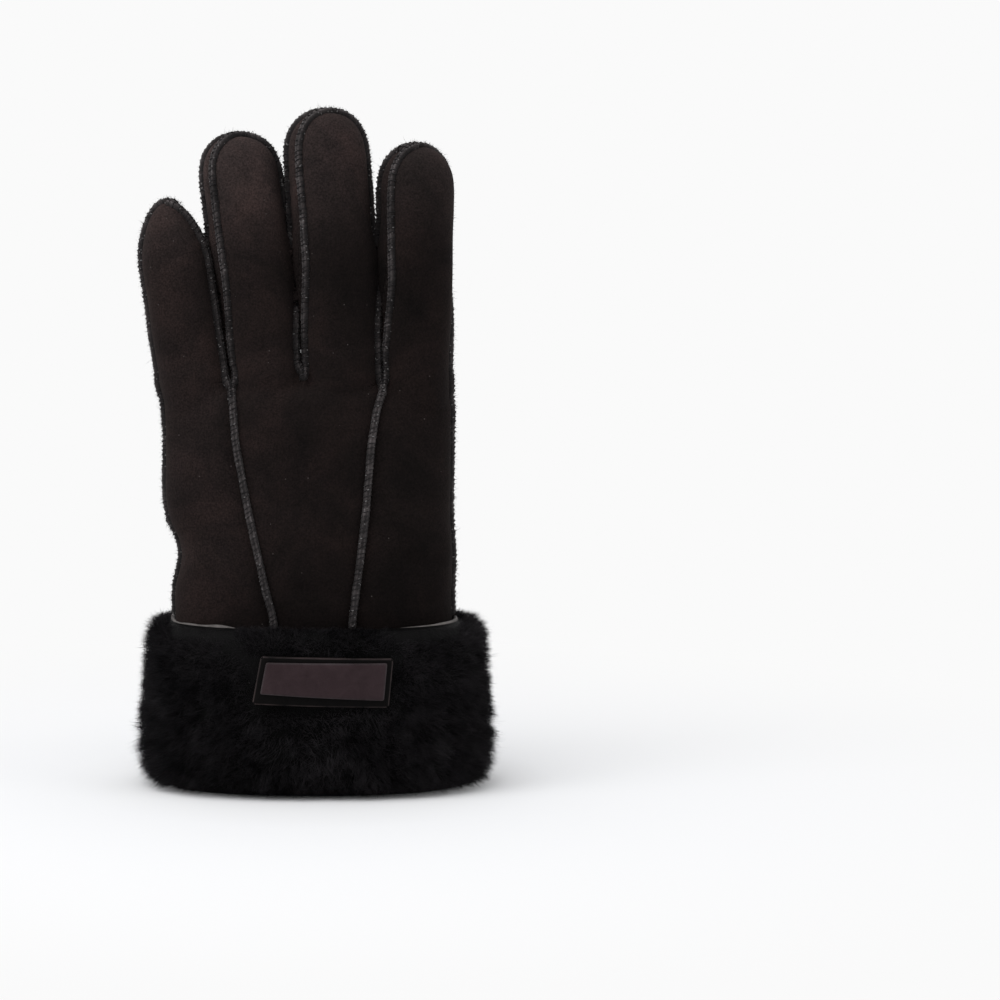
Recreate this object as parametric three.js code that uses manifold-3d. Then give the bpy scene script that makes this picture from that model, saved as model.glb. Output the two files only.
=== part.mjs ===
// A left-hand shearling glove that stands on its turned-up fur cuff, fingers up.
// The back of the hand faces -Y, the palm and the thumb face +Y, and the little finger is on the -X side.
// Millimetres, +Z up, origin on the standing plane under the middle of the whole.
import * as THREE from "three";
import { mergeVertices } from "three/addons/utils/BufferGeometryUtils.js";
import Module from "manifold-3d";

const wasm = await Module();
wasm.setup();

// Driving sizes
const PIECE_GAP = 0.3; // between neighbouring pieces
const WALL = 4; // suede with the clipped wool behind it
const CROTCH_HEIGHT = 148; // from the standing plane up to where the fingers part
const PALM_THICKNESS = 46;
const FINGER_SPACE = 3.6; // between two fingers at their roots
const FOURCHETTE_WIDTH = 11; // the side strip between the back and the palm of a finger
const TIP_STRIP_WIDTH = 3.8; // what is left of that strip over a fingertip
const SEAM_WIDTH = 3.4; // the overcast edges that stand out along each seam
const SEAM_HEIGHT = 1.6;
const SEAM_LIFT = 0.55; // from the skin under it
const SEAM_REACH = 0.88; // in half palm widths, where the seams on the palm end beside the side seams
const WRIST_HEM_HEIGHT = 8; // lower end of the suede, inside the fold of the cuff
const CUFF_HEIGHT = 62;
const FUR_DEPTH = 11; // the turned-up cuff with its pile
const LOCK_DEPTH = 2.4; // how far a lock of wool stands out
const LABEL_WIDTH = 49.5;
const LABEL_HEIGHT = 17.4;
const LABEL_THICKNESS = 1.5;
const LABEL_UP = 41.6; // height of its middle
const LABEL_ASIDE = 2.2; // its middle, towards the index finger
const PATCH_BORDER = 2.4; // the label's rim round the raised patch
const PATCH_THICKNESS = 1.2;
const THUMB_WIDTH = 58; // at its base, across
const THUMB_DEPTH = 22;
const THUMB_CLEARANCE = 1.5; // between the thumb and the palm that it lies on

// Each finger: root width, bulge of the upper part over the root, depth, length from the crotch, lean and twist in degrees.
const FINGERS = [
  { name: "little", width: 24.2, bulge: 1.0, depth: 24, length: 66.5, lean: -9.4, twist: 0 },
  { name: "ring", width: 23, bulge: 1.16, depth: 26, length: 91.5, lean: -7.8, twist: 14 },
  { name: "middle", width: 25.4, bulge: 1.1, depth: 27, length: 100, lean: -4, twist: 14 },
  { name: "index", width: 22.6, bulge: 1.07, depth: 26, length: 86.5, lean: -1, twist: 13 },
];
const FINGER_CURL = 4; // how far a fingertip leans to the palm side

const PALM_WIDTH = FINGERS.reduce((sum, finger) => sum + finger.width, 0) + FINGER_SPACE * (FINGERS.length - 1);
const HALF_PALM = PALM_WIDTH / 2;
const SECTION_POWER = 2.4; // 2 is an ellipse, more is squarer
const FINGER_POWER = 2.3;
const DEGREE = Math.PI / 180;

// The hand below the fingers: height as a share of the crotch height, edges as shares of half the palm width,
// thickness as a share of the palm thickness. The little finger's side has a dent above the cuff.
const HAND = [
  { up: 0.0, left: -0.95, right: 0.945, thick: 1.16 },
  { up: 0.2, left: -0.96, right: 0.95, thick: 1.11 },
  { up: 0.42, left: -0.974, right: 0.957, thick: 1.04 },
  { up: 0.53, left: -0.975, right: 0.957, thick: 1.0 },
  { up: 0.58, left: -0.955, right: 0.955, thick: 0.99 },
  { up: 0.625, left: -0.965, right: 0.945, thick: 0.985 },
  { up: 0.67, left: -1.015, right: 0.945, thick: 0.98 },
  { up: 0.74, left: -1.034, right: 0.948, thick: 0.95 },
  { up: 0.83, left: -1.038, right: 0.947, thick: 0.88 },
  { up: 0.91, left: -1.045, right: 0.945, thick: 0.78 },
  { up: 0.955, left: -1.05, right: 0.945, thick: 0.69 },
  { up: 0.98, left: -1.02, right: 0.915, thick: 0.57 },
  { up: 1.0, left: -0.95, right: 0.845, thick: 0.36 },
];
const HAND_SIDES = 24;
const INNER_HAND_SIDES = 16;
const KNUCKLE_LEFT = -1.065 * HALF_PALM;

// A finger along its length: shares of the length, then how far the width has gone from root to bulge, and the depth.
const FINGER_STATIONS = [
  { along: -0.1, swell: 0, deep: 1.0 },
  { along: 0.0, swell: 0, deep: 1.02 },
  { along: 0.2, swell: 0.25, deep: 1.0 },
  { along: 0.5, swell: 0.8, deep: 0.98 },
  { along: 0.75, swell: 1.0, deep: 0.98 },
  { along: 1.1, swell: 0.95, deep: 0.92 },
];
const FINGER_SIDES = 12;
const INNER_FINGER_SIDES = 8;
const ROOT_DEPTH = 8; // how far a finger starts below the crotch
const DOME_LENGTH = 0.62; // of the finger's width: the rounded tip
const DOME_POWER = 2.2;
const DOME_STEPS = [0, 0.5, 0.8, 0.98];
const INNER_DOME_STEPS = [0, 0.75, 0.98];
const INNER_FINGER_ROWS = [0.48];

// The thumb's middle line over the palm: across in half palm widths, up in crotch heights.
const THUMB_LINE = [
  { across: 0.57, up: 0.35 },
  { across: 0.3, up: 0.66 },
  { across: -0.74, up: 0.925 },
];
// Along the thumb: width and depth as shares of its own, rise of its middle off the palm in half depths.
const THUMB_STATIONS = [
  { along: 0.0, wide: 0.8, deep: 1.25, rise: -1.2 },
  { along: 0.2, wide: 0.97, deep: 1.2, rise: -0.45 },
  { along: 0.32, wide: 1.0, deep: 1.1, rise: 0.35 },
  { along: 0.42, wide: 0.98, deep: 1.02, rise: 0.95 },
  { along: 0.55, wide: 0.9, deep: 1.0, rise: 1.08 },
  { along: 0.75, wide: 0.74, deep: 0.97, rise: 1.15 },
  { along: 1.0, wide: 0.62, deep: 0.92, rise: 1.15 },
];
const THUMB_SIDES = 16;
const INNER_THUMB_SIDES = 10;
const THUMB_RINGS = [0.02, 0.2, 0.32, 0.42, 0.55, 0.68, 0.8];
const THUMB_DOME = 0.2; // share of the thumb's line that is its rounded tip
const THUMB_BACK_START = 0.37; // from here on the thumb has a back of its own

// Seam lines on the hand, seen from the back: across in half palm widths, up in crotch heights.
const POINT_LITTLE = [{ across: -0.53, up: 0.86 }, { across: -0.45, up: 0.68 }, { across: -0.29, up: 0.43 }, { across: -0.25, up: -0.1 }];
const POINT_INDEX = [{ across: 0.4, up: 0.86 }, { across: 0.355, up: 0.7 }, { across: 0.26, up: 0.43 }, { across: 0.25, up: -0.1 }];
const PALM_LITTLE = [{ across: -0.63, up: 0.85 }, { across: -0.775, up: 0.757 }];
const PALM_SIDE = [{ across: -0.775, up: 0.757 }, { across: -1.08, up: 0.628 }, { across: -1.5, up: 0.46 }];
const PALM_INDEX = [{ across: 0.33, up: 0.94 }, { across: 0.28, up: 0.83 }, { across: 0.29, up: 0.7 }];
const HEEL_TOP = [{ across: -0.775, up: 0.757 }, { across: -0.24, up: 0.57 }];
const HEEL_SIDE = [{ across: -0.24, up: 0.57 }, { across: -0.24, up: -0.1 }];
const THUMB_TOP = [{ across: -0.24, up: 0.57 }, { across: 0.29, up: 0.715 }, { across: 0.68, up: 0.722 }, { across: 1.5, up: 0.7 }];

// Fur of the cuff: height as a share of the cuff height, reach as a share of the fur depth.
const FUR_PROFILE = [
  { up: 0.0, reach: 0.1 },
  { up: 0.08, reach: 0.64 },
  { up: 0.2, reach: 0.95 },
  { up: 0.36, reach: 1.0 },
  { up: 0.52, reach: 0.91 },
  { up: 0.68, reach: 0.9 },
  { up: 0.84, reach: 0.96 },
  { up: 0.96, reach: 0.86 },
  { up: 1.0, reach: 0.5 },
];
const LABEL_BED = 0.62; // reach of the pile that the label presses down
const LABEL_BED_MARGIN = 10; // how far round the label it does
const LOCKS_AROUND = 36;
const CUFF_LOOSENESS = 0.8; // between the cuff and the wrist inside it

const OUTSIDE = 70; // past every face of the hand
const SLOT = 4; // past a finger's side, less than the room between fingers allows the eye to see

// Numbers between the rows of a table, on a smooth curve through them.
function rowAt(table, key, at, column) {
  let i = 0;
  while (i < table.length - 2 && at > table[i + 1][key]) i += 1;
  const row = (k) => table[Math.min(Math.max(k, 0), table.length - 1)];
  const [a, b] = [row(i), row(i + 1)];
  const span = b[key] - a[key];
  const share = THREE.MathUtils.clamp((at - a[key]) / span, 0, 1);
  const slope = (p, q) => (q[key] === p[key] ? 0 : ((q[column] - p[column]) / (q[key] - p[key])) * span);
  const [startSlope, endSlope] = [slope(row(i - 1), b), slope(a, row(i + 2))];
  const [s2, s3] = [share * share, share * share * share];
  return (
    (2 * s3 - 3 * s2 + 1) * a[column] + (s3 - 2 * s2 + share) * startSlope + (3 * s2 - 2 * s3) * b[column] + (s3 - s2) * endSlope
  );
}

// A point on a rounded section: angle 0 is the +across side and 90 degrees the +thick side.
function onOval(halfWidth, halfDepth, angle, power) {
  const bend = (value) => Math.sign(value) * Math.abs(value) ** (2 / power);
  return [halfWidth * bend(Math.cos(angle)), halfDepth * bend(Math.sin(angle))];
}

function ovalReach(half, otherHalf, other, power) {
  const share = Math.min(Math.abs(other) / otherHalf, 1);
  return half * (1 - share ** power) ** (1 / power);
}

// A closed solid through rings of as many points each. In a bar of four sides, opposite faces are split the same way.
function solidThrough(rings) {
  const sides = rings[0].length;
  const points = rings.flat();
  const faces = [];
  for (let r = 0; r + 1 < rings.length; r += 1)
    for (let k = 0; k < sides; k += 1) {
      const [a, b] = [r * sides + k, r * sides + ((k + 1) % sides)];
      if (sides === 4 && k > 1) faces.push(a, b, a + sides, b, b + sides, a + sides);
      else faces.push(a, b, b + sides, a, b + sides, a + sides);
    }
  const middle = (ring) => ring.reduce((sum, p) => sum.add(p), new THREE.Vector3()).divideScalar(sides);
  const [first, last, top] = [points.length, points.length + 1, (rings.length - 1) * sides];
  points.push(middle(rings[0]), middle(rings[rings.length - 1]));
  for (let k = 0; k < sides; k += 1) {
    const next = (k + 1) % sides;
    faces.push(first, next, k, last, top + k, top + next);
  }
  return solidFrom(points, faces);
}

function solidFrom(points, faces) {
  let volume = 0;
  for (let i = 0; i < faces.length; i += 3) {
    const [a, b, c] = [points[faces[i]], points[faces[i + 1]], points[faces[i + 2]]];
    volume += a.dot(b.clone().cross(c));
  }
  const turned = volume < 0 ? faces.map((_, i) => faces[i - (i % 3) + [0, 2, 1][i % 3]]) : faces;
  const geometry = new THREE.BufferGeometry().setFromPoints(points);
  geometry.setIndex(turned);
  const merged = mergeVertices(geometry, 1e-4);
  return new wasm.Manifold(
    new wasm.Mesh({
      numProp: 3,
      vertProperties: merged.attributes.position.array,
      triVerts: new Uint32Array(merged.index.array),
    }),
  );
}

const joined = (solids) => solids.reduce((a, b) => a.add(b));

// A block between two corners.
function block(low, high) {
  const box = new THREE.BoxGeometry(high[0] - low[0], high[1] - low[1], high[2] - low[2]);
  box.translate((low[0] + high[0]) / 2, (low[1] + high[1]) / 2, (low[2] + high[2]) / 2);
  box.deleteAttribute("normal");
  box.deleteAttribute("uv");
  const merged = mergeVertices(box);
  return new wasm.Manifold(
    new wasm.Mesh({
      numProp: 3,
      vertProperties: merged.attributes.position.array,
      triVerts: new Uint32Array(merged.index.array),
    }),
  );
}

// The hand
function handSection(height, grow = 0) {
  const up = THREE.MathUtils.clamp(height / CROTCH_HEIGHT, 0, 1);
  const left = rowAt(HAND, "up", up, "left") * HALF_PALM;
  const right = rowAt(HAND, "up", up, "right") * HALF_PALM;
  return {
    middle: (left + right) / 2,
    halfWidth: (right - left) / 2 + grow,
    halfDepth: (rowAt(HAND, "up", up, "thick") * PALM_THICKNESS) / 2 + grow,
  };
}

function handPoint(height, angle, grow = 0) {
  const section = handSection(height, grow);
  const [x, y] = onOval(section.halfWidth, section.halfDepth, angle, SECTION_POWER);
  return new THREE.Vector3(section.middle + x, y, height);
}

// How far the hand's skin lies from its middle plane, at a place seen from the front.
function handDepthAt(x, height) {
  const section = handSection(height);
  return ovalReach(section.halfDepth, section.halfWidth, x - section.middle, SECTION_POWER);
}

function handSolid(grow, bottom, sides = HAND_SIDES) {
  const rings = HAND.filter((row) => row.up * CROTCH_HEIGHT > bottom).map((row) => row.up * CROTCH_HEIGHT);
  return solidThrough(
    [bottom, ...rings].map((height) =>
      Array.from({ length: sides }, (_, k) => {
        const point = handPoint(height, (k / sides) * 2 * Math.PI, grow);
        const top = height > CROTCH_HEIGHT / 2 ? grow : 0;
        return point.setZ(height + top);
      }),
    ),
  );
}

// The fingers
let rootEdge = KNUCKLE_LEFT;
for (const finger of FINGERS) {
  finger.rootX = rootEdge + finger.width / 2;
  rootEdge += finger.width + FINGER_SPACE;
}

function fingerSection(finger, along, grow = 0) {
  const at = along / finger.length;
  const dome = DOME_LENGTH * finger.width + grow;
  const start = finger.length + grow - dome;
  const past = THREE.MathUtils.clamp((along - start) / dome, 0, 1);
  const round = (1 - past ** DOME_POWER) ** (1 / DOME_POWER);
  const swell = rowAt(FINGER_STATIONS, "along", at, "swell");
  const width = finger.width * (1 + (finger.bulge - 1) * swell);
  const depth = finger.depth * rowAt(FINGER_STATIONS, "along", at, "deep");
  return { round, halfWidth: (width / 2 + grow) * round, halfDepth: (depth / 2 + grow) * round };
}

function fingerFrame(finger, along) {
  const at = along / finger.length;
  const lean = finger.lean * DEGREE;
  const turn = finger.twist * DEGREE * THREE.MathUtils.smoothstep(at, 0.08, 0.5);
  const side = new THREE.Vector3(Math.cos(lean), 0, -Math.sin(lean));
  const up = new THREE.Vector3(Math.sin(lean), 0, Math.cos(lean));
  const thick = new THREE.Vector3(0, 1, 0);
  const middle = new THREE.Vector3(finger.rootX, 0, CROTCH_HEIGHT)
    .addScaledVector(up, along)
    .addScaledVector(thick, FINGER_CURL * Math.max(at, 0) ** 2);
  return {
    middle,
    up,
    across: side.clone().multiplyScalar(Math.cos(turn)).addScaledVector(thick, Math.sin(turn)),
    thick: thick.clone().multiplyScalar(Math.cos(turn)).addScaledVector(side, -Math.sin(turn)),
  };
}

const placed = (frame, x, y) => frame.middle.clone().addScaledVector(frame.across, x).addScaledVector(frame.thick, y);

function fingerPoint(finger, along, angle, grow = 0) {
  const section = fingerSection(finger, along, grow);
  const [x, y] = onOval(section.halfWidth, section.halfDepth, angle, FINGER_POWER);
  return placed(fingerFrame(finger, along), x, y);
}

function fingerHeights(finger, grow, start) {
  const dome = DOME_LENGTH * finger.width + grow;
  const straightEnd = finger.length + grow - dome;
  const rows = (grow < 0 ? INNER_FINGER_ROWS : FINGER_STATIONS.map((row) => row.along)).map((share) => share * finger.length);
  const straight = rows.filter((along) => along > start + 1 && along < straightEnd - 4);
  const steps = grow < 0 ? INNER_DOME_STEPS : DOME_STEPS;
  return [start, ...straight, ...steps.map((step) => straightEnd + step * dome)];
}

function fingerSolid(finger, grow, start, sides = FINGER_SIDES) {
  return solidThrough(
    fingerHeights(finger, grow, start).map((along) =>
      Array.from({ length: sides }, (_, k) => fingerPoint(finger, along, (k / sides) * 2 * Math.PI, grow)),
    ),
  );
}

// Half the side strip's width, which narrows over the fingertip.
function stripHalf(finger, along) {
  const { round } = fingerSection(finger, Math.min(along, finger.length));
  return TIP_STRIP_WIDTH / 2 + (FOURCHETTE_WIDTH / 2 - TIP_STRIP_WIDTH / 2) * round;
}

// The thumb
const thumbCurve = new THREE.QuadraticBezierCurve(
  ...THUMB_LINE.map((row) => new THREE.Vector2(row.across * HALF_PALM, row.up * CROTCH_HEIGHT)),
);

function thumbSection(along, grow = 0) {
  const at = THREE.MathUtils.clamp(along, 0, 1);
  const place = thumbCurve.getPoint(at);
  const way = thumbCurve.getTangent(at);
  const length = thumbCurve.getLength();
  const dome = THUMB_DOME + grow / length;
  const past = THREE.MathUtils.clamp((along - (1 + grow / length - dome)) / dome, 0, 1);
  const round = (1 - past ** DOME_POWER) ** (1 / DOME_POWER);
  const depth = (THUMB_DEPTH * rowAt(THUMB_STATIONS, "along", at, "deep")) / 2;
  const rise = rowAt(THUMB_STATIONS, "along", at, "rise");
  const off = handDepthAt(place.x, place.y) + rise * depth + THUMB_CLEARANCE * at;
  const beyond = (along - at) * length;
  return {
    middle: new THREE.Vector3(place.x + way.x * beyond, off, place.y + way.y * beyond),
    across: new THREE.Vector3(way.y, 0, -way.x),
    thick: new THREE.Vector3(0, 1, 0),
    halfWidth: ((THUMB_WIDTH * rowAt(THUMB_STATIONS, "along", at, "wide")) / 2 + grow) * round,
    halfDepth: (depth + grow) * round,
  };
}

function thumbPoint(along, angle, grow = 0) {
  const section = thumbSection(along, grow);
  const [x, y] = onOval(section.halfWidth, section.halfDepth, angle, FINGER_POWER);
  return placed(section, x, y);
}

function thumbRings(grow) {
  const stretch = grow / thumbCurve.getLength();
  const dome = THUMB_DOME + stretch;
  return [...THUMB_RINGS, ...DOME_STEPS.slice(1).map((step) => 1 + stretch - dome + step * dome)];
}

function thumbSolid(grow, sides = THUMB_SIDES) {
  return solidThrough(
    thumbRings(grow).map((along) =>
      Array.from({ length: sides }, (_, k) => thumbPoint(along, (k / sides) * 2 * Math.PI, grow)),
    ),
  );
}

// What lies behind the thumb's middle, from where it leaves the palm to past its tip.
function behindThumb(grow) {
  const stations = [THUMB_BACK_START - grow / 100, ...THUMB_RINGS.filter((at) => at > THUMB_BACK_START), 0.9, 1, 1.06];
  return solidThrough(
    stations.map((along) => {
      const section = thumbSection(along);
      const wide = thumbSection(Math.min(along, 1 - THUMB_DOME)).halfWidth + SLOT;
      return [
        [-wide, grow],
        [wide, grow],
        [wide, -2 * THUMB_DEPTH],
        [-wide, -2 * THUMB_DEPTH],
      ].map(([x, y]) => placed(section, x, y));
    }),
  );
}

// Knives: thin slots along the seams, which part the shell into its pieces.
// Along a finger, from one side of it to another, at a share of the strip's half width.
function fingerKnife(finger, from, to, side) {
  const stations = [-1.5 * ROOT_DEPTH, ...fingerHeights(finger, 0, 0), finger.length + 3];
  return solidThrough(
    stations.map((along) => {
      const frame = fingerFrame(finger, along);
      const reach = fingerSection(finger, Math.min(along, finger.length * 0.7)).halfWidth + SLOT / 2;
      const middle = side * stripHalf(finger, along);
      const low = middle - PIECE_GAP / 2;
      const high = middle + PIECE_GAP / 2;
      return [
        [from * reach, low],
        [to * reach, low],
        [to * reach, high],
        [from * reach, high],
      ].map(([x, y]) => placed(frame, x, y));
    }),
  );
}

// Over the fingertip, between the strips of its two sides.
function tipKnife(finger) {
  const half = PIECE_GAP / 2;
  return solidThrough(
    [...fingerHeights(finger, 0, 0).slice(-DOME_STEPS.length), finger.length + 3].map((along) => {
      const frame = fingerFrame(finger, along);
      const deep = stripHalf(finger, along) + PIECE_GAP / 2;
      return [[-half, -deep], [half, -deep], [half, deep], [-half, deep]].map(([x, y]) => placed(frame, x, y));
    }),
  );
}

// Straight through the back (side -1) or the palm (side 1) along a seam line.
function lineKnife(line, side, inner) {
  const places = line.map((row) => new THREE.Vector2(row.across * HALF_PALM, row.up * CROTCH_HEIGHT));
  const cuts = [];
  for (let i = 0; i + 1 < places.length; i += 1) {
    const way = places[i + 1].clone().sub(places[i]).normalize();
    const off = new THREE.Vector2(-way.y, way.x).multiplyScalar(PIECE_GAP / 2);
    const [a, b] = [places[i].clone().addScaledVector(way, -PIECE_GAP / 2), places[i + 1].clone().addScaledVector(way, PIECE_GAP / 2)];
    const corners = [a.clone().add(off), a.clone().sub(off), b.clone().sub(off), b.clone().add(off)];
    cuts.push(solidThrough([side * inner, side * OUTSIDE].map((y) => corners.map((p) => new THREE.Vector3(p.x, y, p.y)))));
  }
  return joined(cuts);
}

// The block behind an outline on the palm.
function prism(outline) {
  const corners = outline.map((row) => [row.across * HALF_PALM, row.up * CROTCH_HEIGHT]);
  return solidThrough([0, OUTSIDE].map((y) => corners.map(([x, height]) => new THREE.Vector3(x, y, height))));
}

// From a crotch down to the first point of a seam line.
const webX = ([left, right]) => (left.rootX + left.width / 2 + right.rootX - right.width / 2) / 2;
const fromCrotch = (web, line) => [{ across: webX(web) / HALF_PALM, up: 1.06 }, { across: webX(web) / HALF_PALM, up: 0.97 }, ...line];

const LITTLE_WEB = FINGERS.filter((finger) => ["little", "ring"].includes(finger.name));
const INDEX_WEB = FINGERS.filter((finger) => ["middle", "index"].includes(finger.name));

function seamKnives() {
  const [little, ring, middle, index] = FINGERS;
  const strip = FOURCHETTE_WIDTH / 2;
  const knives = [];
  for (const side of [-1, 1]) {
    knives.push(fingerKnife(little, 0, 1, side), fingerKnife(ring, -1, 1, side));
    knives.push(fingerKnife(middle, -1, 1, side), fingerKnife(index, -1, 0, side));
    for (let i = 0; i + 1 < FINGERS.length; i += 1)
      knives.push(
        block(
          [FINGERS[i].rootX, side * strip - PIECE_GAP / 2, CROTCH_HEIGHT - 1.5 * ROOT_DEPTH],
          [FINGERS[i + 1].rootX, side * strip + PIECE_GAP / 2, CROTCH_HEIGHT + ROOT_DEPTH],
        ),
      );
  }
  knives.push(fingerKnife(little, -1, 0, 0), fingerKnife(index, 0, 1, 0));
  knives.push(...FINGERS.map(tipKnife));
  const half = PIECE_GAP / 2;
  knives.push(block([-OUTSIDE - 20, -half, -OUTSIDE], [little.rootX, half, CROTCH_HEIGHT]));
  knives.push(block([index.rootX, -half, -OUTSIDE], [OUTSIDE + 20, half, CROTCH_HEIGHT]));
  knives.push(lineKnife(fromCrotch(LITTLE_WEB, POINT_LITTLE), -1, strip), lineKnife(fromCrotch(INDEX_WEB, POINT_INDEX), -1, strip));
  knives.push(lineKnife(fromCrotch(LITTLE_WEB, PALM_LITTLE), 1, strip), lineKnife(fromCrotch(INDEX_WEB, PALM_INDEX), 1, strip));
  knives.push(lineKnife(PALM_SIDE, 1, 0), lineKnife(HEEL_TOP, 1, 0), lineKnife(HEEL_SIDE, 1, 0), lineKnife(THUMB_TOP, 1, 0));
  return joined(knives);
}

// The shell: outer forms less inner forms, then the knives.
const outerHand = handSolid(0, WRIST_HEM_HEIGHT);
const outerFingers = joined(FINGERS.map((finger) => fingerSolid(finger, 0, -ROOT_DEPTH)));
const handHollow = handSolid(-WALL, -WRIST_HEM_HEIGHT, INNER_HAND_SIDES);
const fingerHollow = joined(FINGERS.map((finger) => fingerSolid(finger, -WALL, -2 * ROOT_DEPTH, INNER_FINGER_SIDES)));
const aboveCuff = block([-2 * OUTSIDE, -2 * OUTSIDE, CUFF_HEIGHT + PIECE_GAP], [2 * OUTSIDE, 2 * OUTSIDE, 2 * CROTCH_HEIGHT]);
const thumbHollow = thumbSolid(-WALL, INNER_THUMB_SIDES).intersect(aboveCuff);
const grownHand = handSolid(PIECE_GAP, WRIST_HEM_HEIGHT);

// The outer side of the palm, which the thumb's front piece takes in down to the cuff.
const thumbBase = prism([...HEEL_SIDE].reverse().concat(THUMB_TOP.slice(1), [{ across: 1.5, up: -0.1 }]));
const knives = seamKnives();
const parted = outerHand.add(outerFingers)
  .subtract(joined([handHollow, fingerHollow, thumbHollow.intersect(thumbBase)]))
  .subtract(knives)
  .decompose();

const largest = (solid) => solid.decompose().reduce((a, b) => (a.volume() > b.volume() ? a : b));
const thumbTube = thumbSolid(0).intersect(aboveCuff).subtract(thumbHollow.add(handHollow));
const thumbBack = thumbTube.intersect(behindThumb(-PIECE_GAP / 2)).subtract(grownHand);
const thumbFront = thumbTube
  .subtract(behindThumb(PIECE_GAP / 2))
  .subtract(grownHand.subtract(thumbBase))
  .subtract(grownHand.intersect(knives));

// The piece of the parted shell whose skin comes nearest to a place.
function pieceNear(x, y, z) {
  let found = null;
  let best = Infinity;
  for (const piece of parted) {
    const { vertProperties } = piece.getMesh();
    for (let i = 0; i < vertProperties.length; i += 3) {
      const away = Math.hypot(vertProperties[i] - x, vertProperties[i + 1] - y, vertProperties[i + 2] - z);
      if (away < best) [best, found] = [away, piece];
    }
  }
  return found;
}

const nearFinger = (i, x, y, share) => {
  const finger = FINGERS[i];
  const along = share * finger.length;
  const section = fingerSection(finger, along);
  const place = placed(fingerFrame(finger, along), x * section.halfWidth, y * section.halfDepth);
  return pieceNear(place.x, place.y, place.z);
};
const nearPalm = (across, up) => {
  const [x, z] = [across * HALF_PALM, up * CROTCH_HEIGHT];
  return pieceNear(x, handDepthAt(x, z), z);
};

// Materials
const suede = new THREE.MeshStandardMaterial({ color: 0x1f1917, roughness: 0.95, metalness: 0 });
const suedeEdge = new THREE.MeshStandardMaterial({ color: 0x2c2725, roughness: 0.9, metalness: 0 });
const fur = new THREE.MeshStandardMaterial({ color: 0x0c0b0c, roughness: 0.85, metalness: 0 });
const labelLeather = new THREE.MeshStandardMaterial({ color: 0x17110f, roughness: 0.6, metalness: 0 });
const patchLeather = new THREE.MeshStandardMaterial({ color: 0x33262a, roughness: 0.5, metalness: 0 });

const glove = new THREE.Group();

function addPiece(name, solid, material) {
  const { vertProperties, triVerts } = solid.getMesh();
  const geometry = new THREE.BufferGeometry();
  geometry.setAttribute("position", new THREE.BufferAttribute(new Float32Array(vertProperties), 3));
  geometry.setIndex(new THREE.BufferAttribute(new Uint32Array(triVerts), 1));
  geometry.computeVertexNormals();
  const mesh = new THREE.Mesh(geometry, material);
  mesh.name = name;
  glove.add(mesh);
}

addPiece("back_little", nearFinger(0, 0, -1, 0.5), suede);
addPiece("back_middle", nearFinger(2, 0, -1, 0.5), suede);
addPiece("back_index", nearFinger(3, 0, -1, 0.5), suede);
addPiece("palm_little", nearFinger(0, 0, 1, 0.5), suede);
addPiece("palm_middle", nearFinger(2, 0, 1, 0.5), suede);
addPiece("palm_index", nearFinger(3, 0, 1, 0.5), suede);
addPiece("palm_heel", nearPalm(-0.6, 0.45), suede);
addPiece("thumb_front", largest(nearPalm(0.85, 0.45).add(thumbFront)), suede);
addPiece("thumb_back", largest(thumbBack), suede);
FINGERS.slice(1).forEach((finger, i) => {
  addPiece(`fourchette_${FINGERS[i].name}_${finger.name}`, nearFinger(i + 1, -1, 0, 0.5), suede);
});

// Seams: a low ridge of overcast edges that follows the skin.
const RIDGE = [
  { aside: -0.5, off: 0 },
  { aside: 0.5, off: 0 },
  { aside: 0.36, off: 1 },
  { aside: -0.36, off: 1 },
];

function ridge(spots) {
  const rings = spots.map(({ place, out }, i) => {
    const ahead = spots[Math.min(i + 1, spots.length - 1)].place;
    const behind = spots[Math.max(i - 1, 0)].place;
    const aside = ahead.clone().sub(behind).cross(out).normalize();
    return RIDGE.map((corner) => {
      const off = SEAM_LIFT + corner.off * SEAM_HEIGHT;
      return place
        .clone()
        .addScaledVector(aside, corner.aside * SEAM_WIDTH)
        .addScaledVector(out, off);
    });
  });
  return solidThrough(rings);
}

// A spot on a finger's skin beside the strip, with the way out of the skin there.
function fingerSpot(finger, along, side, face) {
  const at = (place) => {
    const section = fingerSection(finger, place);
    const y = face * Math.min(stripHalf(finger, place), section.halfDepth * 0.98);
    const x = side * ovalReach(section.halfWidth, section.halfDepth, y, FINGER_POWER);
    return { section, x, y, frame: fingerFrame(finger, place) };
  };
  const { section, x, y, frame } = at(along);
  const slope = (half, value) => (Math.sign(value) * (Math.abs(value) / half) ** (FINGER_POWER - 1)) / half;
  const back = at(along - 1).section;
  const taper = (back.halfWidth - section.halfWidth) / section.halfWidth;
  const out = frame.across
    .clone()
    .multiplyScalar(slope(section.halfWidth, x))
    .addScaledVector(frame.thick, slope(section.halfDepth, y))
    .addScaledVector(frame.up, Math.max(taper, 0))
    .normalize();
  return { place: placed(frame, x, y), out };
}

// Stations along a finger from the crotch to near its apex.
function seamStations(finger) {
  const dome = DOME_LENGTH * finger.width;
  const straight = [0.04, 0.14, 0.27, 0.4, 0.53, 0.66].map((share) => share * finger.length);
  return [
    ...straight.filter((along) => along < finger.length - dome - 3),
    ...[0, 0.4, 0.65, 0.82, 0.93, 0.985].map((step) => finger.length - dome + step * dome),
  ];
}

function apexSpot(finger, face) {
  const frame = fingerFrame(finger, finger.length);
  return { place: placed(frame, 0, (face * TIP_STRIP_WIDTH) / 2), out: frame.up.clone() };
}

// Up one side of a finger, over its tip and down the other side.
function loopSeam(finger, face) {
  const stations = seamStations(finger);
  const rise = stations.map((along) => fingerSpot(finger, along, -1, face));
  const fall = stations.map((along) => fingerSpot(finger, along, 1, face)).reverse();
  return ridge([...rise, apexSpot(finger, face), ...fall]);
}

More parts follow.
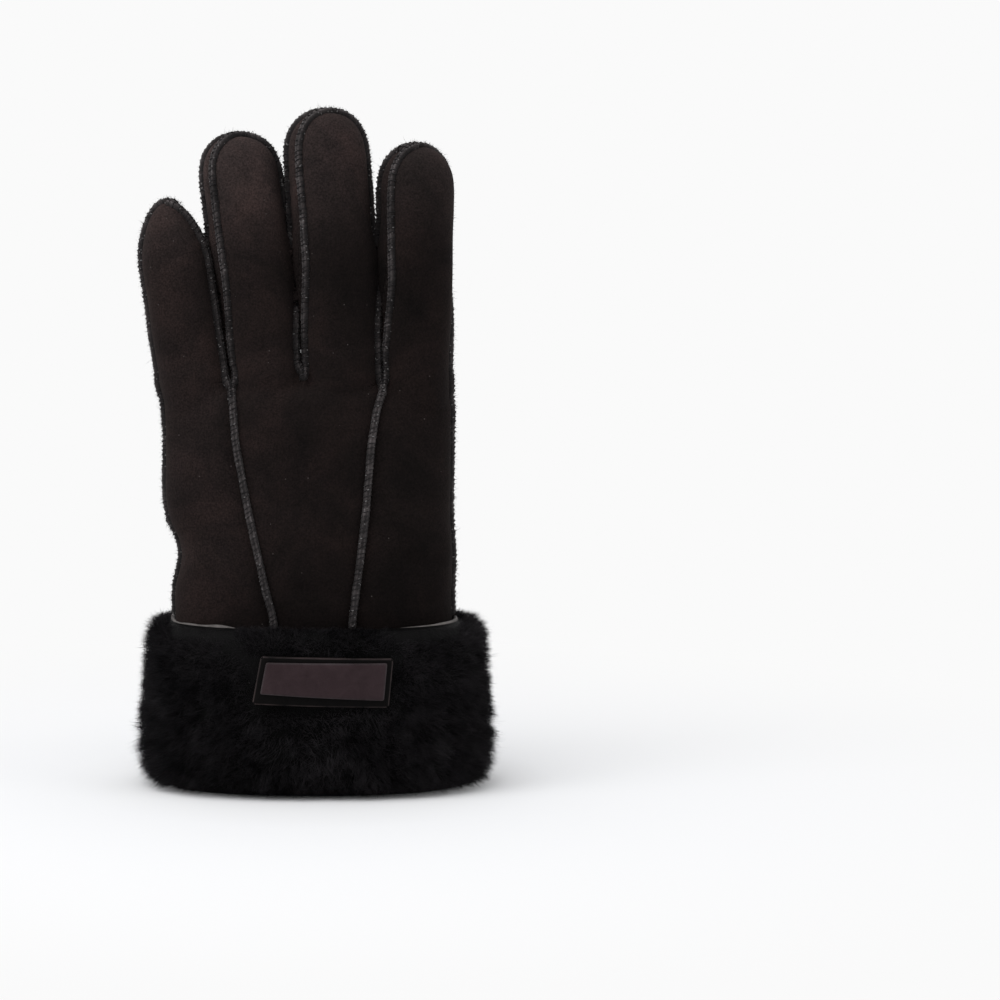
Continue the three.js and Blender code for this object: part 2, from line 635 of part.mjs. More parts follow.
function halfSeam(finger, side, face) {
  return ridge([...seamStations(finger).map((along) => fingerSpot(finger, along, side, face)), apexSpot(finger, face)]);
}

// The outer side of the hand, from the cuff up over the outer side of a finger.
function sideSeam(finger, side) {
  const heights = [0.44, 0.5, 0.56, 0.61, 0.66, 0.72, 0.8, 0.88].map((share) => share * CROTCH_HEIGHT);
  const angle = side > 0 ? 0 : Math.PI;
  const hand = heights.map((height) => ({ place: handPoint(height, angle), out: new THREE.Vector3(side, 0, 0) }));
  const onFinger = seamStations(finger)
    .slice(0, -1)
    .map((along) => fingerSpot(finger, along, side, 0));
  return ridge([...hand, ...onFinger]);
}

// Along a line on the hand's back (face -1) or palm (face 1), between two heights and short of the side seams.
function lineSeam(line, face, low, high) {
  const spots = [];
  const places = line.map((row) => new THREE.Vector2(row.across * HALF_PALM, row.up * CROTCH_HEIGHT));
  const fine = new THREE.Path(places).getSpacedPoints(400);
  const reach = SEAM_REACH * HALF_PALM;
  const kept = fine.filter((p) => p.y >= low * CROTCH_HEIGHT && p.y <= high * CROTCH_HEIGHT && Math.abs(p.x) < reach);
  const count = Math.max(2, Math.round(kept.length / 16));
  for (let i = 0; i <= count; i += 1) {
    const { x, y: height } = kept[Math.round((i / count) * (kept.length - 1))];
    const section = handSection(height);
    const [aside, deep] = [x - section.middle, face * handDepthAt(x, height)];
    const slope = (half, value) => (Math.sign(value) * (Math.abs(value) / half) ** (SECTION_POWER - 1)) / half;
    const out = new THREE.Vector3(slope(section.halfWidth, aside), slope(section.halfDepth, deep), 0).normalize();
    spots.push({ place: new THREE.Vector3(x, deep, height), out });
  }
  return ridge(spots);
}

for (const finger of FINGERS) {
  const faces = [
    ["back", -1],
    ["palm", 1],
  ];
  for (const [word, face] of faces) {
    const name = `seam_${finger.name}_${word}`;
    if (finger.name === "little") addPiece(name, halfSeam(finger, 1, face), suedeEdge);
    else if (finger.name === "index") addPiece(name, halfSeam(finger, -1, face), suedeEdge);
    else addPiece(name, loopSeam(finger, face), suedeEdge);
  }
}
addPiece("seam_side_little", sideSeam(FINGERS[0], -1), suedeEdge);
addPiece("seam_side_index", sideSeam(FINGERS[3], 1), suedeEdge);
addPiece("point_little", lineSeam(fromCrotch(LITTLE_WEB, POINT_LITTLE).slice(1), -1, 0.43, 0.95), suedeEdge);
addPiece("point_index", lineSeam(fromCrotch(INDEX_WEB, POINT_INDEX).slice(1), -1, 0.43, 0.95), suedeEdge);
addPiece("seam_palm_little", lineSeam(fromCrotch(LITTLE_WEB, [...PALM_LITTLE, PALM_SIDE[1]]).slice(1), 1, 0, 0.95), suedeEdge);
addPiece("seam_palm_index", lineSeam(fromCrotch(INDEX_WEB, PALM_INDEX).slice(1), 1, 0.8, 0.95), suedeEdge);

// The thumb's edge, from the cuff round its tip to the outer side. Where the thumb is sunk in the palm it runs on the palm.
function thumbSpot(along, side) {
  const section = thumbSection(along);
  const place = placed(section, side * section.halfWidth, 0);
  const ground = handDepthAt(place.x, place.z);
  const ahead = thumbSection(Math.min(along + 0.01, 1));
  const taper = Math.max(0, section.halfWidth - ahead.halfWidth) / (0.01 * thumbCurve.getLength());
  const way = section.across.clone().cross(section.thick).normalize();
  const out = section.across.clone().multiplyScalar(side).addScaledVector(way, taper).normalize();
  if (place.y > ground) return { place, out };
  return { place: place.setY(ground), out: new THREE.Vector3(0, 1, 0) };
}

function thumbSeam() {
  const low = [0.4, 0.46, 0.54, 0.63, 0.72, 0.8, 0.88, 0.93, 0.965, 0.99];
  const high = [...low].reverse();
  const tip = thumbSection(1);
  const way = tip.across.clone().cross(tip.thick).normalize();
  return ridge([
    ...low.map((along) => thumbSpot(along, -1)),
    { place: tip.middle.clone(), out: way },
    ...high.map((along) => thumbSpot(along, 1)),
  ]);
}
addPiece("seam_thumb", thumbSeam(), suedeEdge);
addPiece("seam_thumb_side", lineSeam(THUMB_TOP.slice(2), 1, 0, 1), suedeEdge);
addPiece("seam_heel", lineSeam(HEEL_SIDE, 1, 0.43, 0.49), suedeEdge);

// The cuff: turned-up shearling whose pile stands in locks, with a flat foot where it stands.
function furReach(up, angle, height) {
  const section = handSection(0);
  const [x] = onOval(section.halfWidth + FUR_DEPTH, section.halfDepth + FUR_DEPTH, angle, SECTION_POWER);
  const front = Math.sin(angle) < 0;
  const [wide, high] = [LABEL_WIDTH / 2 + LABEL_BED_MARGIN, LABEL_HEIGHT / 2 + LABEL_BED_MARGIN];
  const near = Math.max(Math.abs(x - LABEL_ASIDE) / wide, Math.abs(height - LABEL_UP) / high);
  const bed = front ? 1 - THREE.MathUtils.smoothstep(near, 0.9, 1.25) : 0;
  const free = rowAt(FUR_PROFILE, "up", up, "reach");
  return { reach: (free + (LABEL_BED - free) * bed) * FUR_DEPTH, bed };
}

function furPoint(height, angle, extra = 0) {
  const { reach } = furReach(height / CUFF_HEIGHT, angle, height);
  return handPoint(0, angle, reach + extra).setZ(height);
}

// A repeatable scatter between -1 and 1.
const scatter = (i, j, k) => {
  const wave = Math.sin(i * 12.9898 + j * 78.233 + k * 37.719) * 43758.5453;
  return 2 * (wave - Math.floor(wave)) - 1;
};

function cuffSolid() {
  const around = LOCKS_AROUND;
  const angleOf = (i) => (i / around) * 2 * Math.PI;
  const points = [];
  const faces = [];
  const addRing = (pointAt) => {
    const start = points.length;
    for (let i = 0; i < around; i += 1) points.push(pointAt(angleOf(i)));
    return start;
  };
  const bridge = (a, b, locks) => {
    for (let i = 0; i < around; i += 1) {
      const [p, q] = [i, (i + 1) % around];
      if (!locks) {
        faces.push(a + p, a + q, b + q, a + p, b + q, b + p);
        continue;
      }
      const tip = points.length;
      points.push(locks(i));
      faces.push(a + p, a + q, tip, a + q, b + q, tip, b + q, b + p, tip, b + p, a + p, tip);
    }
  };
  const outer = FUR_PROFILE.map((row) => addRing((angle) => furPoint(row.up * CUFF_HEIGHT, angle)));
  for (let j = 0; j + 1 < outer.length; j += 1) {
    const [low, high] = [FUR_PROFILE[j].up * CUFF_HEIGHT, FUR_PROFILE[j + 1].up * CUFF_HEIGHT];
    const inLocks = j > 0 && j + 2 < outer.length;
    bridge(outer[j], outer[j + 1], inLocks && ((i) => {
      const height = low + (high - low) * (0.34 + 0.12 * scatter(i, j, 1));
      const angle = angleOf(i + 0.5 + 0.25 * scatter(i, j, 2));
      const { bed } = furReach(height / CUFF_HEIGHT, angle, height);
      return furPoint(height, angle, LOCK_DEPTH * (1 - bed) * (0.65 + 0.35 * scatter(i, j, 3)));
    }));
  }
  const ledge = addRing((angle) => handPoint(CUFF_HEIGHT, angle, CUFF_LOOSENESS));
  const seat = addRing((angle) => handPoint(WRIST_HEM_HEIGHT, angle, CUFF_LOOSENESS).setZ(WRIST_HEM_HEIGHT - PIECE_GAP));
  const lip = addRing((angle) => handPoint(WRIST_HEM_HEIGHT, angle, -WALL).setZ(WRIST_HEM_HEIGHT - PIECE_GAP));
  const foot = addRing((angle) => handPoint(0, angle, -WALL));
  const loop = [outer[outer.length - 1], ledge, seat, lip, foot, outer[0]];
  for (let j = 0; j + 1 < loop.length; j += 1) bridge(loop[j], loop[j + 1], null);
  return solidFrom(points, faces);
}
addPiece("fur_cuff", cuffSolid(), fur);

// The label: a leather bed on the pile, and a raised patch on it.
function cuffPlate(halfWidth, halfHeight, inner, thickness) {
  const columns = 9;
  const section = handSection(0, LABEL_BED * FUR_DEPTH);
  const rings = [];
  for (let i = 0; i < columns; i += 1) {
    const x = LABEL_ASIDE - halfWidth + (2 * halfWidth * i) / (columns - 1);
    const y = -ovalReach(section.halfDepth, section.halfWidth, x - section.middle, SECTION_POWER);
    const corner = (off, up) => new THREE.Vector3(x, y - off, LABEL_UP + up);
    rings.push([
      corner(inner, -halfHeight),
      corner(inner + thickness, -halfHeight),
      corner(inner + thickness, halfHeight),
      corner(inner, halfHeight),
    ]);
  }
  return solidThrough(rings);
}
const labelOff = 3 * PIECE_GAP;
addPiece("label_bed", cuffPlate(LABEL_WIDTH / 2, LABEL_HEIGHT / 2, labelOff, LABEL_THICKNESS), labelLeather);
addPiece(
  "label_patch",
  cuffPlate(
    LABEL_WIDTH / 2 - PATCH_BORDER,
    LABEL_HEIGHT / 2 - PATCH_BORDER,
    labelOff + LABEL_THICKNESS + PIECE_GAP,
    PATCH_THICKNESS,
  ),
  patchLeather,
);

// The origin lies under the middle of the whole.
const middle = new THREE.Box3().setFromObject(glove).getCenter(new THREE.Vector3());
for (const mesh of glove.children) mesh.geometry.translate(-middle.x, -middle.y, 0);

export default glove;
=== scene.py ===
# %% [markdown]
# # A shearling glove, standing on its turned-up cuff
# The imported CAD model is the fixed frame. It says where each piece of the glove goes, so this lesson loads it first
# and then dresses it: suede panels, overcast seams, deep wool and a leather label.

# %% Load the frame
import math
import bpy
import numpy as np
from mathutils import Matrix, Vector, noise
from mathutils.bvhtree import BVHTree
from mathutils.kdtree import KDTree


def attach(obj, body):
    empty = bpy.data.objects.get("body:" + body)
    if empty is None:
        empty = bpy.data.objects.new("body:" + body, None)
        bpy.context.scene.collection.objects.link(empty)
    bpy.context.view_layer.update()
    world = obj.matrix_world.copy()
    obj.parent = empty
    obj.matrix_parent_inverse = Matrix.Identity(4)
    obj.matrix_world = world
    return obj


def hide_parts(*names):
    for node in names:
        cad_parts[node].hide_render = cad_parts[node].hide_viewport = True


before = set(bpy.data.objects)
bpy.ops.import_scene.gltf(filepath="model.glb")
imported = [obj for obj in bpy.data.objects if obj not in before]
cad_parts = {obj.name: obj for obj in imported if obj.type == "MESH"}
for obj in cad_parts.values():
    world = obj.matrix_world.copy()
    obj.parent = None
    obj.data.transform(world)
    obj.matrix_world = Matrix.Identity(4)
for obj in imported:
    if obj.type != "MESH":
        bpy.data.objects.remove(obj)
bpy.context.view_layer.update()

MM = 0.001

# %% [markdown]
# ## Sizes of the hand
# A glove is drawn from a hand. All lengths here are millimetres, measured from the middle of the wrist, and MIDDLE
# says where that point lies in the frame. Each table has a row for a section of the real glove.

# %% Named sizes
MIDDLE = np.array([2.21, -3.62, 0.0])
CROTCH_HEIGHT = 148.0
PALM_THICKNESS = 46.0
FINGER_SPACE = 1.8
STRIP_WIDTH = 11.0
TIP_STRIP = 3.8
WALL = 3.4
HEM_HEIGHT = 8.0
CUFF_HEIGHT = 62.0
FINGER_CURL = 4.0
SECTION_POWER = 2.4
FINGER_POWER = 2.3
DOME_POWER = 2.2
THUMB_WIDTH = 58.0
THUMB_DEPTH = 22.0
THUMB_CLEARANCE = 1.5
THUMB_DOME = 0.2
THUMB_BACK_START = 0.37
WEB_RISE = [0.0, 6.0, 1.0]

FINGERS = {
    "little": dict(width=25.4, bulge=1.0, depth=24.0, length=68.0, lean=-8.9, twist=0.0, dome=1.0, point=1.75),
    "ring": dict(width=24.4, bulge=1.17, depth=26.0, length=91.5, lean=-7.5, twist=23.0, dome=0.6, point=2.2),
    "middle": dict(width=27.0, bulge=1.08, depth=27.0, length=100.0, lean=-4.0, twist=24.0, dome=0.6, point=2.2),
    "index": dict(width=23.8, bulge=1.12, depth=26.0, length=86.5, lean=-0.4, twist=24.0, dome=0.66, point=2.2),
}
NAMES = list(FINGERS)
PALM_WIDTH = sum(f["width"] for f in FINGERS.values()) + 3 * FINGER_SPACE
HALF_PALM = PALM_WIDTH / 2

# columns: up, left, right, thick
HAND = np.array([
    (0.0, -0.95, 0.945, 1.16), (0.2, -0.96, 0.95, 1.11), (0.42, -0.974, 0.957, 1.04), (0.53, -0.975, 0.957, 1.0),
    (0.58, -0.955, 0.955, 0.99), (0.625, -0.965, 0.945, 0.985), (0.67, -1.015, 0.945, 0.98),
    (0.74, -1.034, 0.948, 0.95), (0.83, -1.038, 0.947, 0.88), (0.91, -1.045, 0.945, 0.78),
    (0.955, -1.05, 0.945, 0.69), (0.98, -1.02, 0.915, 0.57), (1.0, -0.95, 0.845, 0.36)])
# columns: along, swell, deep
FINGER_ROWS = np.array([(-0.1, 0, 1.0), (0.0, 0, 1.02), (0.2, 0.25, 1.0), (0.5, 0.8, 0.98), (0.75, 1.0, 0.98),
                        (1.1, 0.95, 0.92)])
# columns: along, wide, deep, rise
THUMB_ROWS = np.array([
    (0.0, 0.8, 1.25, -1.2), (0.2, 0.97, 1.2, -0.45), (0.32, 1.0, 1.1, 0.35), (0.42, 0.98, 1.02, 0.95),
    (0.55, 0.9, 1.0, 1.08), (0.75, 0.74, 0.97, 1.15), (1.0, 0.62, 0.92, 1.15)])
THUMB_LINE = np.array([(0.57, 0.35), (0.3, 0.66), (-0.74, 0.925)]) * (HALF_PALM, CROTCH_HEIGHT)

POINT_LITTLE = [(-0.545, 0.86), (-0.45, 0.68), (-0.34, 0.5), (-0.285, 0.43), (-0.25, -0.1)]
POINT_INDEX = [(0.42, 0.94), (0.385, 0.86), (0.35, 0.7), (0.3, 0.55), (0.255, 0.43), (0.25, -0.1)]
PALM_LITTLE = [(-0.63, 0.85), (-0.775, 0.757)]
PALM_SIDE = [(-0.775, 0.757), (-1.08, 0.628), (-1.5, 0.46)]
PALM_INDEX = [(0.33, 0.94), (0.28, 0.83), (0.29, 0.7)]
HEEL_TOP = [(-0.775, 0.757), (-0.24, 0.57)]
HEEL_SIDE = [(-0.24, 0.57), (-0.24, -0.1)]
THUMB_TOP = [(-0.24, 0.57), (0.29, 0.715), (0.68, 0.722), (1.5, 0.7)]

edge = -1.07 * HALF_PALM
for finger in FINGERS.values():
    finger["root"] = edge + finger["width"] / 2
    edge += finger["width"] + FINGER_SPACE


def smooth(value, low, high):
    t = np.clip((value - low) / (high - low), 0, 1)
    return t * t * (3 - 2 * t)


def column(table, at, number):
    """A value between the rows of a table, on a smooth curve through them."""
    keys, values = table[:, 0], table[:, number]
    slopes = np.gradient(values, keys)
    at = np.clip(at, keys[0], keys[-1])
    i = np.clip(np.searchsorted(keys, at) - 1, 0, len(keys) - 2)
    span = keys[i + 1] - keys[i]
    t = (at - keys[i]) / span
    t2, t3 = t * t, t * t * t
    return ((2 * t3 - 3 * t2 + 1) * values[i] + (t3 - 2 * t2 + t) * span * slopes[i]
            + (3 * t2 - 2 * t3) * values[i + 1] + (t3 - t2) * span * slopes[i + 1])


def reach(half, other_half, other, power):
    share = np.minimum(np.abs(other) / other_half, 1)
    return half * (1 - share ** power) ** (1 / power)


print("palm", round(PALM_WIDTH, 1), "mm wide")

# %% [markdown]
# ## Where the hand, fingers and thumb run
# Each of these functions gives a section of the real glove: its middle, its two directions and its half sizes. They
# are used to loft the form, and again to find which panel a spot belongs to and where the seams run.


# %% Sections of the hand, fingers and thumb
def hand_section(height):
    up = np.clip(height / CROTCH_HEIGHT, 0, 1)
    left, right = column(HAND, up, 1) * HALF_PALM, column(HAND, up, 2) * HALF_PALM
    return (left + right) / 2, (right - left) / 2, column(HAND, up, 3) * PALM_THICKNESS / 2


def hand_depth(x, height):
    middle, wide, deep = hand_section(height)
    return reach(deep, wide, x - middle, SECTION_POWER)


def finger_section(name, along):
    finger = FINGERS[name]
    at = along / finger["length"]
    dome = finger["dome"] * finger["width"]
    past = np.clip((along - finger["length"] + dome) / dome, 0, 1)
    rounding = (1 - past ** finger["point"]) ** (1 / finger["point"])
    width = finger["width"] * (1 + (finger["bulge"] - 1) * column(FINGER_ROWS, at, 1))
    depth = finger["depth"] * column(FINGER_ROWS, at, 2)
    return rounding, width / 2 * rounding, depth / 2 * rounding


def finger_frame(name, along):
    finger = FINGERS[name]
    at = along / finger["length"]
    lean = math.radians(finger["lean"])
    turn = math.radians(finger["twist"]) * smooth(at, 0.08, 0.5)
    side = np.array([math.cos(lean), 0, -math.sin(lean)])
    up = np.array([math.sin(lean), 0, math.cos(lean)])
    thick = np.array([0.0, 1.0, 0.0])
    root = np.array([finger["root"], 0, CROTCH_HEIGHT])
    along = np.asarray(along)[..., None]
    turn = np.asarray(turn)[..., None]
    middle = root + up * along + thick * FINGER_CURL * np.maximum(at, 0)[..., None] ** 2 if np.ndim(at) else (
        root + up * along[0] + thick * FINGER_CURL * max(at, 0) ** 2)
    across = side * np.cos(turn) + thick * np.sin(turn)
    depth = thick * np.cos(turn) - side * np.sin(turn)
    return middle, np.squeeze(across), np.squeeze(depth), up


def thumb_section(along):
    at = min(max(along, 0), 1)
    a, b, c = THUMB_LINE
    place = (1 - at) ** 2 * a + 2 * at * (1 - at) * b + at ** 2 * c
    way = (1 - at) * (b - a) + at * (c - b)
    way = way / np.linalg.norm(way)
    past = min(max((along - 1 + THUMB_DOME) / THUMB_DOME, 0), 1)
    rounding = (1 - past ** DOME_POWER) ** (1 / DOME_POWER)
    depth = THUMB_DEPTH * column(THUMB_ROWS, at, 2) / 2
    off = hand_depth(place[0], place[1]) + column(THUMB_ROWS, at, 3) * depth + THUMB_CLEARANCE * at
    wide = THUMB_WIDTH * column(THUMB_ROWS, at, 1) / 2 * rounding
    middle = np.array([place[0], off, place[1]])
    return middle, np.array([way[1], 0, -way[0]]), np.array([way[0], 0, way[1]]), wide, depth * rounding


def web_x(i):
    a, b = FINGERS[NAMES[i]], FINGERS[NAMES[i + 1]]
    return (a["root"] + a["width"] / 2 + b["root"] - b["width"] / 2) / 2


def strip_half(name, along):
    rounding = finger_section(name, np.minimum(along, FINGERS[name]["length"]))[0]
    return TIP_STRIP / 2 + (STRIP_WIDTH - TIP_STRIP) / 2 * rounding


THUMB_LENGTH = sum(np.linalg.norm(thumb_section((i + 1) / 50)[0] - thumb_section(i / 50)[0]) for i in range(50))
print("thumb line", round(THUMB_LENGTH, 1), "mm long")

# %% [markdown]
# ## Lofting with extrude
# A finger is a bag that changes its section little by little. A circle is added at its root and extruded from one
# section to the next, resized and turned as it goes, which is how it would be done by hand. The rings are then
# rounded to the squarer oval of a stuffed leather finger.


# %% The loft helper
def clear():
    if bpy.context.object and bpy.context.object.mode != "OBJECT":
        bpy.ops.object.mode_set(mode="OBJECT")
    bpy.ops.object.select_all(action="DESELECT")


def only(piece):
    clear()
    piece.select_set(True)
    bpy.context.view_layer.objects.active = piece


def loft(name, rings, sides, power):
    """rings: rows of middle, across, depth direction, half width, half depth, in millimetres."""
    clear()
    middle, across, depth, wide, deep = rings[0]
    bpy.ops.mesh.primitive_circle_add(vertices=sides, radius=MM, fill_type="NGON", location=tuple(middle * MM))
    piece = bpy.context.object
    piece.name = name
    bpy.ops.object.transform_apply(location=True, rotation=True, scale=True)
    bpy.ops.object.mode_set(mode="EDIT")
    bpy.ops.mesh.select_all(action="SELECT")
    bpy.ops.transform.resize(value=(wide, deep, 1), center_override=tuple(middle * MM))
    for before, ring in zip(rings, rings[1:]):
        step = (ring[0] - before[0]) * MM
        bpy.ops.mesh.extrude_region_move(TRANSFORM_OT_translate={"value": tuple(step)})
        size = (ring[3] / before[3], ring[4] / before[4], 1)
        bpy.ops.transform.resize(value=size, center_override=tuple(ring[0] * MM))
    bpy.ops.object.mode_set(mode="OBJECT")
    mesh = piece.data
    count = len(mesh.vertices) // sides
    for number, (middle, across, depth, wide, deep) in enumerate(rings[:count]):
        for k in range(sides):
            vertex = mesh.vertices[number * sides + k]
            off = np.array(vertex.co) / MM - middle
            angle = math.atan2(off[1] / deep, off[0] / wide)
            x = wide * math.copysign(abs(math.cos(angle)) ** (2 / power), math.cos(angle))
            y = deep * math.copysign(abs(math.sin(angle)) ** (2 / power), math.sin(angle))
            vertex.co = (middle + across * x + depth * y) * MM
    return piece


# %% [markdown]
# ## The hand, four fingers and the thumb
# They are lofted one by one and joined. A voxel remesh then melts them into one skin, as the leather of the real
# glove runs from the hand into each finger.

# %% Loft the parts of the form
X_AXIS, Y_AXIS = np.array([1.0, 0, 0]), np.array([0, 1.0, 0])
parts = []
rings = []
for up in [HEM_HEIGHT / CROTCH_HEIGHT, 0.12, 0.2, 0.28, 0.36, 0.44, 0.5, 0.54, 0.58, 0.62, 0.66, 0.7, 0.76, 0.82,
           0.88, 0.92, 0.95, 0.975, 0.99, 1.0]:
    middle, wide, deep = hand_section(up * CROTCH_HEIGHT)
    rings.append((np.array([middle, 0, up * CROTCH_HEIGHT]), X_AXIS, Y_AXIS, wide, deep))
parts.append(loft("suede_hand", rings, 56, SECTION_POWER))

for name, finger in FINGERS.items():
    dome = finger["dome"] * finger["width"]
    stations = list(np.linspace(-8, finger["length"] - dome, 14))
    stations += [finger["length"] - dome + share * dome
                 for share in (0.25, 0.45, 0.62, 0.76, 0.87, 0.94, 0.98, 0.997)]
    rings = []
    for along in stations:
        middle, across, depth, _ = finger_frame(name, along)
        _, wide, deep = finger_section(name, along)
        rings.append((middle, across, depth, wide, deep))
    parts.append(loft("suede_" + name, rings, 32, FINGER_POWER))

rings = []
for along in [0.02, 0.1, 0.2, 0.27, 0.34, 0.41, 0.48, 0.56, 0.64, 0.72, 0.8, 0.86, 0.91, 0.95, 0.975, 0.99, 0.999]:
    middle, across, way, wide, deep = thumb_section(along)
    rings.append((middle, across, Y_AXIS, wide, deep))
parts.append(loft("suede_thumb", rings, 40, FINGER_POWER))

for i, rise in enumerate(WEB_RISE):
    clear()
    place = Vector((web_x(i), 0, CROTCH_HEIGHT - 3 + rise / 2)) * MM
    bpy.ops.mesh.primitive_uv_sphere_add(segments=24, ring_count=16, radius=MM, location=place)
    web = bpy.context.object
    web.name = f"suede_web_{i}"
    web.scale = (3.2, 11.0, 4 + rise / 2)
    bpy.ops.object.transform_apply(location=True, rotation=True, scale=True)
    parts.append(web)
print("parts", [(p.name, len(p.data.vertices)) for p in parts])

# %% Melt them into one skin
clear()
for part in parts:
    part.select_set(True)
bpy.context.view_layer.objects.active = parts[0]
bpy.ops.object.join()
skin = bpy.context.object
bpy.ops.object.mode_set(mode="EDIT")
bpy.ops.mesh.select_all(action="SELECT")
bpy.ops.mesh.normals_make_consistent(inside=False)
bpy.ops.object.mode_set(mode="OBJECT")


def finish_modifier(piece, kind, **values):
    only(piece)
    modifier = piece.modifiers.new(kind.lower(), kind)
    for key, value in values.items():
        setattr(modifier, key, value)
    bpy.ops.object.modifier_apply(modifier=modifier.name)


finish_modifier(skin, "REMESH", mode="VOXEL", voxel_size=1.05 * MM)
finish_modifier(skin, "SMOOTH", factor=0.6, iterations=7)
print("skin", len(skin.data.vertices), "vertices")


def read(mesh):
    spots = np.empty(len(mesh.vertices) * 3)
    mesh.vertices.foreach_get("co", spots)
    return spots.reshape(-1, 3)


def write(mesh, spots):
    mesh.vertices.foreach_set("co", np.ascontiguousarray(spots, dtype=np.float32).ravel())
    mesh.update()


# %% [markdown]
# ## Where the seams run
# The panels of a shearling glove meet edge to edge and are overcast from outside, so each seam is a raised cord. A
# seam's path is first drawn on the sections above, and later it is laid on the skin.


# %% Seam paths
def finger_spot(name, along, side, face):
    middle, across, depth, up = finger_frame(name, along)
    _, wide, deep = finger_section(name, along)
    y = face * min(strip_half(name, along), deep * 0.98)
    x = side * reach(wide, deep, y, FINGER_POWER)
    return middle + across * x + depth * y


def finger_stations(name):
    length = FINGERS[name]["length"]
    dome = FINGERS[name]["dome"] * FINGERS[name]["width"]
    return (list(np.linspace(7, length - dome, 16))
            + [length - dome + s * dome for s in (0.2, 0.4, 0.57, 0.7, 0.81, 0.9, 0.96, 0.99)])


def apex(name, face):
    middle, across, depth, up = finger_frame(name, FINGERS[name]["length"])
    return middle + depth * face * TIP_STRIP / 2


def from_crotch(i, line):
    return [(web_x(i) / HALF_PALM, 0.985)] + line


def crotch_spots(i, face):
    """Where the seams of two fingers come together, from the hand upwards."""
    low = CROTCH_HEIGHT - 5 + WEB_RISE[i]
    return [np.array([web_x(i), face * hand_depth(web_x(i), low), low]), np.array([web_x(i), face * 9.0, low + 4])]


def on_hand(line, face, low=-1.0, high=2.0, limit=2.0):
    line = np.array(line) * (HALF_PALM, CROTCH_HEIGHT)
    steps = np.concatenate([[0], np.cumsum(np.linalg.norm(np.diff(line, axis=0), axis=1))])
    fine = np.linspace(0, steps[-1], int(steps[-1] / 1.5) + 2)
    x, z = np.interp(fine, steps, line[:, 0]), np.interp(fine, steps, line[:, 1])
    kept = (z >= low * CROTCH_HEIGHT) & (z <= high * CROTCH_HEIGHT) & (np.abs(x) < limit * HALF_PALM)
    x, z = x[kept], z[kept]
    return [np.array([a, face * hand_depth(a, b), b]) for a, b in zip(x, z)]


paths = {}
for face, word in ((-1, "back"), (1, "palm")):
    for number, name in enumerate(NAMES):
        rise = [finger_spot(name, along, -1, face) for along in finger_stations(name)]
        fall = [finger_spot(name, along, 1, face) for along in finger_stations(name)][::-1]
        rise = (crotch_spots(number - 1, face) if number else []) + rise
        fall = fall + (crotch_spots(number, face)[::-1] if number < 3 else [])
        if name == "little":
            paths[f"seam_{name}_{word}"] = [apex(name, face)] + fall
        elif name == "index":
            paths[f"seam_{name}_{word}"] = rise + [apex(name, face)]
        else:
            paths[f"seam_{name}_{word}"] = rise + [apex(name, face)] + fall
for side, name, node in ((-1, "little", "seam_side_little"), (1, "index", "seam_side_index")):
    heights = np.linspace(0.42, 0.955, 40) * CROTCH_HEIGHT
    hand = [np.array([hand_section(h)[0] + side * hand_section(h)[1], 0, h]) for h in heights]
    paths[node] = hand + [finger_spot(name, along, side, 0) for along in finger_stations(name)]
    paths[node] += [apex(name, 0)] + [finger_spot(name, along, -side, 0) for along in finger_stations(name)[:-4:-1]]
paths["point_little"] = on_hand(from_crotch(0, POINT_LITTLE), -1, 0.4)
paths["point_index"] = on_hand(from_crotch(2, POINT_INDEX), -1, 0.4)
paths["seam_palm_little"] = on_hand(from_crotch(0, PALM_LITTLE + PALM_SIDE[1:2]), 1, limit=1.03)
paths["seam_palm_index"] = on_hand(from_crotch(2, PALM_INDEX), 1, low=0.72)
paths["seam_thumb_side"] = on_hand(THUMB_TOP[2:], 1, limit=0.955)
paths["seam_heel"] = on_hand(HEEL_SIDE, 1, 0.4, 0.52)
low, high = [], []
for along in list(np.linspace(0.37, 0.8, 26)) + [0.84, 0.87, 0.9, 0.93, 0.95, 0.97, 0.985]:
    middle, across, way, wide, deep = thumb_section(along)
    for side, row in ((-1, low), (1, high)):
        spot = middle + across * side * wide
        spot[1] = max(spot[1], hand_depth(spot[0], spot[2]))
        row.append(spot)
paths["seam_thumb"] = low + [thumb_section(1.0)[0]] + high[::-1] + paths["seam_thumb_side"][:1]
print("seams", len(paths))

# %% [markdown]
# ## Full panels and drawn-in seams
# Wool behind the leather makes each panel stand full, and the thread pulls its edges in. The skin is therefore pushed
# out a little away from the seams and pulled in beside them. Soft hollows and folds from the photo follow: the dent
# above the cuff at the little finger's side, creases at the roots of the fingers, and slack above the cuff.

# %% Shape the skin
seam_tree = KDTree(sum(len(path) for path in paths.values()))
number = 0
for path in paths.values():
    for spot in path:
        seam_tree.insert(Vector(spot), number)
        number += 1
seam_tree.balance()

spots = read(skin.data) / MM
normals = np.empty(len(skin.data.vertices) * 3)
skin.data.vertices.foreach_get("normal", normals)
normals = normals.reshape(-1, 3)
away = np.array([seam_tree.find(Vector(p))[2] for p in spots])
push = 0.55 * (1 - np.exp(-(away / 7) ** 2)) - 0.75 * np.exp(-(away / 2.4) ** 2)

